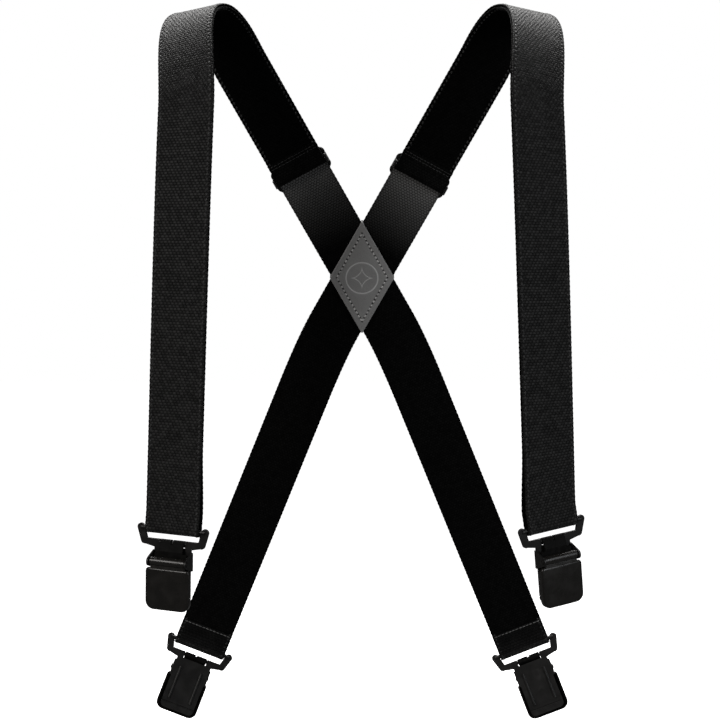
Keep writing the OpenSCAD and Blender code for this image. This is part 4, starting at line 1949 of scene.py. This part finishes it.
@dataclass(frozen=True)
class PadSizes:
    """The sizes of a clip's ridged pad, in the clip's own frame."""

    part: str
    width: float
    front: float
    depth: float
    heights: tuple[float, float]
    ridges: int
    first: float
    radius: float
    ridge_out: float
    pitch: float = 2.6 * MM


GRIP_PAD = PadSizes(
    "grip", 22 * MM, -1.6 * MM, 0.8 * MM, (-48.4 * MM, -30.4 * MM), 7, -47 * MM, 0.4 * MM, -1.6 * MM
)
JAW_PAD = PadSizes(
    "jaw_pad", 21 * MM, -3.1 * MM, 0.4 * MM, (-48 * MM, -31 * MM), 6, -45.7 * MM, 0.3 * MM, -2.7 * MM
)


@dataclass
class Clip:
    """A lever clip: frame, lever, jaw, pads and pin, built on the axes of its own joints."""

    side: Side
    end: End
    lever_width: float = 30.8 * MM
    lever_top: float = 24 * MM
    lever_low: float = 51.6 * MM
    lever_out: float = 10.2 * MM + 0.3 * MM
    top_corner: float = 2.4 * MM
    low_corner: float = 5.6 * MM
    skirt: float = 3.8 * MM
    sheet: float = 1.1 * MM
    crown: float = 0.55 * MM
    barrel_width: float = 24.6 * MM
    barrel_radius: float = 2.9 * MM
    barrel_drop: float = 20 * MM
    barrel_out: float = 7.3 * MM
    frame_edge: float = 0.3 * MM
    jaw_edge: float = 0.15 * MM

    def __post_init__(self) -> None:
        """Finds the clip's place from its joints."""
        self.word = f"{self.side.value}_{self.end.value}"
        joints = {j["name"]: j for j in frame["joints"]}
        swing = joints[f"{self.word}_swing"]
        jaw = joints[f"{self.word}_jaw_turn"]
        origin = Vector(swing["pos_m"])
        up = (origin - Vector(jaw["pos_m"])).normalized()
        across = -Vector(swing["axis"]).normalized()
        inward = -across.cross(up)
        self.place = Matrix.Translation(origin) @ Matrix((across, inward, up)).transposed().to_4x4()

    def body(self, part: str) -> str:
        """The CAD body of one of the clip's moving parts."""
        return f"{self.word}_{part}"

    def dress(self, item: bpy.types.Object, node: str, body: str, slot: str) -> None:
        """Sets a piece on its body in place of a CAD node, and reports it.

        Args:
            item: the piece.
            node: the short name of the node it stands for.
            body: the short name of its body.
            slot: the record's material slot, not used.
        """
        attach(item, self.body(body))
        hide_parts(self.body(node))
        LOG.info("%s: %d points", item.name, len(item.data.vertices))

    def build(self, shop: Workshop) -> None:
        """Makes the clip's pieces.

        Args:
            shop: the shared trees and groups.
        """
        satin, gloss, matt = shop.paint(SATIN), shop.paint(GLOSS), shop.paint(MATT)
        for node, body, steel, edge in (
            ("frame", "clip", satin, self.frame_edge),
            ("jaw", "clamp", matt, self.jaw_edge),
        ):
            item = softened(self.body(node), self.body(f"{node}_steel"), steel, edge)
            self.dress(item, node, body, "black_steel")
        self.dress(self.lever(gloss), "lever", "cover", "lever_enamel")
        self.dress(self.pin(satin), "pin", "clip", "black_steel")
        self.dress(self.pad(shop, GRIP_PAD), GRIP_PAD.part, "clip", "grip_plastic")
        self.dress(self.pad(shop, JAW_PAD), JAW_PAD.part, "clamp", "grip_plastic")

    def cover_outline(self, shrink: float, count: int = 10) -> np.ndarray:
        """The lever's outline, across and up.

        Args:
            shrink: how far inside the rim it runs.
            count: points round each corner.

        Returns:
            The points, round from the right of the top.
        """
        half = self.lever_width / 2
        top, low = self.top_corner, self.low_corner
        spots = (
            (half - top, -self.lever_top - top, top, 0.0),
            (-half + top, -self.lever_top - top, top, 90.0),
            (-half + low, -self.lever_low + low, low, 180.0),
            (half - low, -self.lever_low + low, low, 270.0),
        )
        corners = []
        for x, z, radius, start in spots:
            for angle in np.radians(np.linspace(start, start + 90, count)):
                reach = max(radius - shrink, 0.02 * MM)
                corners.append((x + reach * math.cos(angle), z + reach * math.sin(angle)))
        loop: list[tuple[float, float]] = []
        for i, (a, b) in enumerate(zip(corners, corners[1:] + corners[:1])):
            loop.append(a)
            if (i + 1) % count == 0:
                loop += [tuple(np.array(a) + (np.array(b) - np.array(a)) * k / 8) for k in range(1, 8)]
        return np.array(loop)

    def lever(self, material: bpy.types.Material) -> bpy.types.Object:
        """The lever: a domed cover with a turned-down rim, and the cam barrel it turns on.

        Args:
            material: its enamel.

        Returns:
            The piece.
        """
        middle = np.array([0.0, -(self.lever_top + self.lever_low) / 2])
        half = np.array([self.lever_width / 2, (self.lever_low - self.lever_top) / 2])
        bend = 1.3 * MM
        rows: list[np.ndarray] = []

        def dome(flat: np.ndarray) -> np.ndarray:
            """The cover's height over its rim."""
            reach = np.clip(np.abs((flat - middle) / half), 0, 1)
            return self.crown * (1 - reach[:, 0] ** 2) * (1 - 0.6 * reach[:, 1] ** 2)

        inner = self.cover_outline(bend)
        for share in np.linspace(0.04, 1, 14):
            flat = middle + (inner - middle) * share
            rows.append(np.stack([flat[:, 0], -self.lever_out + 1.1 * MM - dome(flat), flat[:, 1]], axis=1))
        base = rows[-1][:, 1]
        for angle in np.radians(np.linspace(15, 90, 6)):
            flat = self.cover_outline(bend * (1 - math.sin(angle)))
            rows.append(np.stack([flat[:, 0], base + bend * (1 - math.cos(angle)), flat[:, 1]], axis=1))
        rim = self.cover_outline(0.0)
        open_top = np.clip((-rim[:, 1] - self.lever_top) / (3 * MM), 0, 1) ** 0.7
        full = base + bend
        deep = full + (self.skirt - bend) * open_top
        for share in (0.5, 1.0):
            rows.append(np.stack([rim[:, 0], full + (deep - full) * share, rim[:, 1]], axis=1))
        around = len(rim)
        hub = np.array([[0.0, -self.lever_out + self.sheet - self.crown, middle[1]]])
        points = np.concatenate(rows + [hub])
        number = np.arange(len(rows) * around).reshape(len(rows), around)
        following = np.roll(number, -1, axis=1)
        quads = ring_bands(number)
        faces = [list(f) for f in quads]
        faces += [[len(points) - 1, a, b] for a, b in zip(number[0], following[0])]
        shell = mesh_from("cover", points, faces)
        work = bmesh.new()
        work.from_mesh(shell)
        if sum(f.normal.y * f.calc_area() for f in work.faces) > 0:
            bmesh.ops.reverse_faces(work, faces=work.faces[:])
        work.to_mesh(shell)
        work.free()
        item = new_object("cover", shell)
        wall = item.modifiers.new("wall", "SOLIDIFY")
        wall.thickness = self.sheet
        wall.offset = -1
        wall.use_even_offset = True
        edges = item.modifiers.new("edges", "BEVEL")
        edges.width = 0.18 * MM
        edges.segments = 2
        edges.limit_method = "ANGLE"
        edges.angle_limit = math.radians(50)
        baked(item)
        cover = item.data.copy()
        bpy.data.objects.remove(item)
        whole = joined(self.body("lever_cover"), [cover, self.barrel()])
        whole.transform(self.place)
        whole.materials.clear()
        whole.materials.append(material)
        whole.polygons.foreach_set("material_index", np.zeros(len(whole.polygons), dtype=np.int32))
        smoothed(whole, 38)
        return new_object(self.body("lever_cover"), whole)

    def barrel(self) -> bpy.types.Mesh:
        """The cam barrel and the short web that joins it to the cover.

        Returns:
            The mesh, in the clip's own axes.
        """
        centre = np.array([-self.barrel_out, -self.barrel_drop])
        turnings = [0.0, 0.35 * MM, 0.0]
        stations = [-self.barrel_width / 2, -self.barrel_width / 2 + 0.35 * MM]
        stations = stations + [-s for s in stations[::-1]]
        radii = [self.barrel_radius - turnings[1], self.barrel_radius, self.barrel_radius,
                 self.barrel_radius - turnings[1]]
        circle = np.radians(np.linspace(0, 360, 40, endpoint=False))
        foot = np.array([-self.lever_out + 1.2 * MM, -self.lever_top - 1.5 * MM])
        points = []
        for x, radius in zip(stations, radii):
            for angle in circle:
                y, z = centre + radius * np.array([math.cos(angle), math.sin(angle)])
                points.append((x, y, z))
        around = len(circle)
        number = np.arange(4 * around).reshape(4, around)
        quads = ring_bands(number)
        faces = [list(f) for f in quads] + [list(number[0]), list(number[-1][::-1])]
        tube = mesh_from("tube", np.array(points), faces)
        outer = [centre + self.barrel_radius * np.array([math.cos(a), math.sin(a)])
                 for a in np.radians([235, 255, 285])]
        under, beside = np.array([1.0 * MM, -0.2 * MM]), np.array([0.4 * MM, 0.2 * MM])
        web = [outer[0], foot, foot + under, outer[2] + beside]
        half = self.barrel_width / 2 - 0.4 * MM
        flange_points = [(x, y, z) for x in (-half, half) for y, z in web]
        flange_faces = [[0, 1, 2, 3], [7, 6, 5, 4], [0, 4, 5, 1], [1, 5, 6, 2], [2, 6, 7, 3], [3, 7, 4, 0]]
        flange = mesh_from("flange", np.array(flange_points), flange_faces)
        both = []
        for mesh in (tube, flange):
            work = bmesh.new()
            work.from_mesh(mesh)
            both.append(mesh_of(work, mesh.name))
            bpy.data.meshes.remove(mesh)
        return joined("barrel", both)

    def pin(self, material: bpy.types.Material) -> bpy.types.Object:
        """The pin with a domed head at each end.

        Args:
            material: its enamel.

        Returns:
            The piece.
        """
        low, high = 13.9 * MM, 14.75 * MM
        profile = [
            (-high, 0.0),
            (-high, 0.7 * MM),
            (-high + 0.15 * MM, 1.3 * MM),
            (-high + 0.4 * MM, 1.7 * MM),
            (-low, 1.8 * MM),
            (-low + 0.02 * MM, 1.0 * MM),
        ]
        profile += [(-x, r) for x, r in profile[::-1]]
        rows, around = len(profile), 28
        y, z = -(self.barrel_out + 1.0 * MM), -self.barrel_drop
        points = []
        for x, radius in profile:
            for angle in np.radians(np.linspace(0, 360, around, endpoint=False)):
                points.append((x, y + radius * math.cos(angle), z + radius * math.sin(angle)))
        number = np.arange(rows * around).reshape(rows, around)
        quads = ring_bands(number)
        mesh = mesh_from("pin", np.array(points), quads)
        work = bmesh.new()
        work.from_mesh(mesh)
        bpy.data.meshes.remove(mesh)
        bmesh.ops.remove_doubles(work, verts=work.verts[:], dist=0.001 * MM)
        bmesh.ops.dissolve_degenerate(work, edges=work.edges[:], dist=0.001 * MM)
        made = mesh_of(work, self.body("pin_rivet"))
        made.transform(self.place)
        made.materials.append(material)
        smoothed(made, 45)
        return new_object(self.body("pin_rivet"), made)

    def pad(self, shop: Workshop, sizes: "PadSizes") -> bpy.types.Object:
        """A moulded pad with cross ridges.

        Args:
            shop: the shared trees and groups.
            sizes: the pad's sizes.

        Returns:
            The piece.
        """
        work = bmesh.new()
        bmesh.ops.create_cube(work, size=1.0)
        low, high = sizes.heights
        for vertex in work.verts:
            vertex.co = Vector((
                vertex.co.x * sizes.width,
                sizes.front + sizes.depth / 2 + vertex.co.y * sizes.depth - sizes.ridge_out,
                (low + high) / 2 + vertex.co.z * (high - low) - sizes.first,
            ))
        bmesh.ops.bevel(
            work, geom=work.edges[:], offset=0.2 * MM, segments=2, profile=0.5, affect="EDGES"
        )
        item = new_object(self.body(f"{sizes.part}_ribbed"), mesh_of(work, sizes.part))
        shop.ridges.apply(
            item,
            Count=sizes.ridges,
            Pitch=sizes.pitch,
            Width=sizes.width - 1 * MM,
            Radius=sizes.radius,
            Plastic=shop.paint(PLASTIC),
        )
        item.data.transform(self.place @ Matrix.Translation((0, sizes.ridge_out, sizes.first)))
        smoothed(item.data, 40)
        return item


@dataclass
class Adjuster:
    """The sliding adjuster on one back strap."""

    side: Side
    edge: float = 0.35 * MM

    def build(self, shop: Workshop) -> None:
        """Makes the adjuster.

        Args:
            shop: the shared trees and groups.
        """
        node = f"{self.side.value}_adjuster"
        item = softened(node, f"{node}_steel", shop.paint(SATIN), self.edge)
        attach(item, f"{self.side.value}_glide")
        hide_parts(node)
        LOG.info("%s: %d points", item.name, len(item.data.vertices))


# Studio


@dataclass(frozen=True)
class Lamp:
    """A soft rectangular light."""

    name: str
    place: tuple[float, float, float]
    aim: tuple[float, float, float]
    size: tuple[float, float]
    watts: float
    warm: float = 0.0


@dataclass
class Studio:
    """A pale floor, soft lights and the camera."""

    camera_distance: float = 1.467
    camera_height: float = -0.2391
    camera_side: float = 0.0007
    focal: float = 108.55
    sensor: float = 36.0
    shift: float = -0.0041667
    floor_size: float = 60.0
    room_light: float = 0.03
    floor_drop: float = 0.06
    lamps: tuple[Lamp, ...] = (
        Lamp("overhead", (0.0, 0.55, 0.85), (0.0, 0.0, 0.0), (1.2, 0.7), 34.0, 0.01),
        Lamp("front left", (-1.2, -1.5, 0.55), (0.0, 0.0, -0.25), (0.8, 1.0), 17.0, 0.03),
        Lamp("front right", (1.3, -1.2, 0.1), (0.0, 0.0, -0.3), (0.5, 1.2), 9.0, -0.03),
    )

    def build(self, shop: Workshop) -> None:
        """Makes the studio.

        Args:
            shop: the shared trees and groups.
        """
        self.floor(shop)
        self.surroundings()
        for lamp in self.lamps:
            self.light(lamp)
        self.camera()

    def floor(self, shop: Workshop) -> None:
        """A plain pale floor under the clips.

        Args:
            shop: the shared trees and groups.
        """
        level = cad_box[0].z - self.floor_drop
        half = self.floor_size / 2
        turns = ((-1, -1), (1, -1), (1, 1), (-1, 1))
        corners = np.array([(x * half, y * half, level) for x, y in turns])
        item = new_object("studio_floor", mesh_from("studio_floor", corners, [[0, 1, 2, 3]]))
        item.data.materials.append(shop.paint(FLOOR))

    def surroundings(self) -> None:
        """A white room that gives only a little light of its own."""
        world = bpy.data.worlds.new("studio")
        bpy.context.scene.world = world
        world.use_nodes = True
        world.node_tree.nodes.clear()
        wires = Wiring(world.node_tree)
        seen = wires.add("ShaderNodeLightPath").outputs["Is Camera Ray"]
        strength = wires.span(seen, 0.0, 1.0, self.room_light, 1.0)
        back = wires.add("ShaderNodeBackground", {"Color": grey(1.0), "Strength": strength})
        wires.add("ShaderNodeOutputWorld", {"Surface": back})

    @staticmethod
    def light(lamp: Lamp) -> None:
        """Sets up one light.

        Args:
            lamp: its place, aim, size and power.
        """
        data = bpy.data.lights.new(lamp.name, "AREA")
        data.shape = "RECTANGLE"
        data.size, data.size_y = lamp.size
        data.energy = lamp.watts
        data.color = grey(1.0, lamp.warm)[:3]
        item = bpy.data.objects.new(lamp.name, data)
        bpy.context.scene.collection.objects.link(item)
        item.location = lamp.place
        toward = Vector(lamp.aim) - Vector(lamp.place)
        item.rotation_euler = toward.to_track_quat("-Z", "Y").to_euler()

    def camera(self) -> None:
        """Sets up the camera, level and straight in front."""
        data = bpy.data.cameras.new("camera")
        data.lens = self.focal
        data.sensor_width = self.sensor
        data.shift_x = self.shift
        item = bpy.data.objects.new("camera", data)
        bpy.context.scene.collection.objects.link(item)
        item.location = (self.camera_side, -self.camera_distance, self.camera_height)
        item.rotation_euler = (math.pi / 2, 0, 0)
        bpy.context.scene.camera = item
        bpy.context.scene.view_settings.view_transform = "Standard"


def main() -> None:
    """Builds the suspenders and the studio."""
    logging.basicConfig(level=logging.INFO, format="%(message)s")
    shop = Workshop()
    for side in Side:
        Strap(side).build(shop)
        Adjuster(side).build(shop)
        for end in End:
            Clip(side, end).build(shop)
    Patch("inner_patch", outer=False).build(shop)
    Patch("outer_patch", outer=True).build(shop)
    Studio().build(shop)


if __name__ == "__main__":
    main()
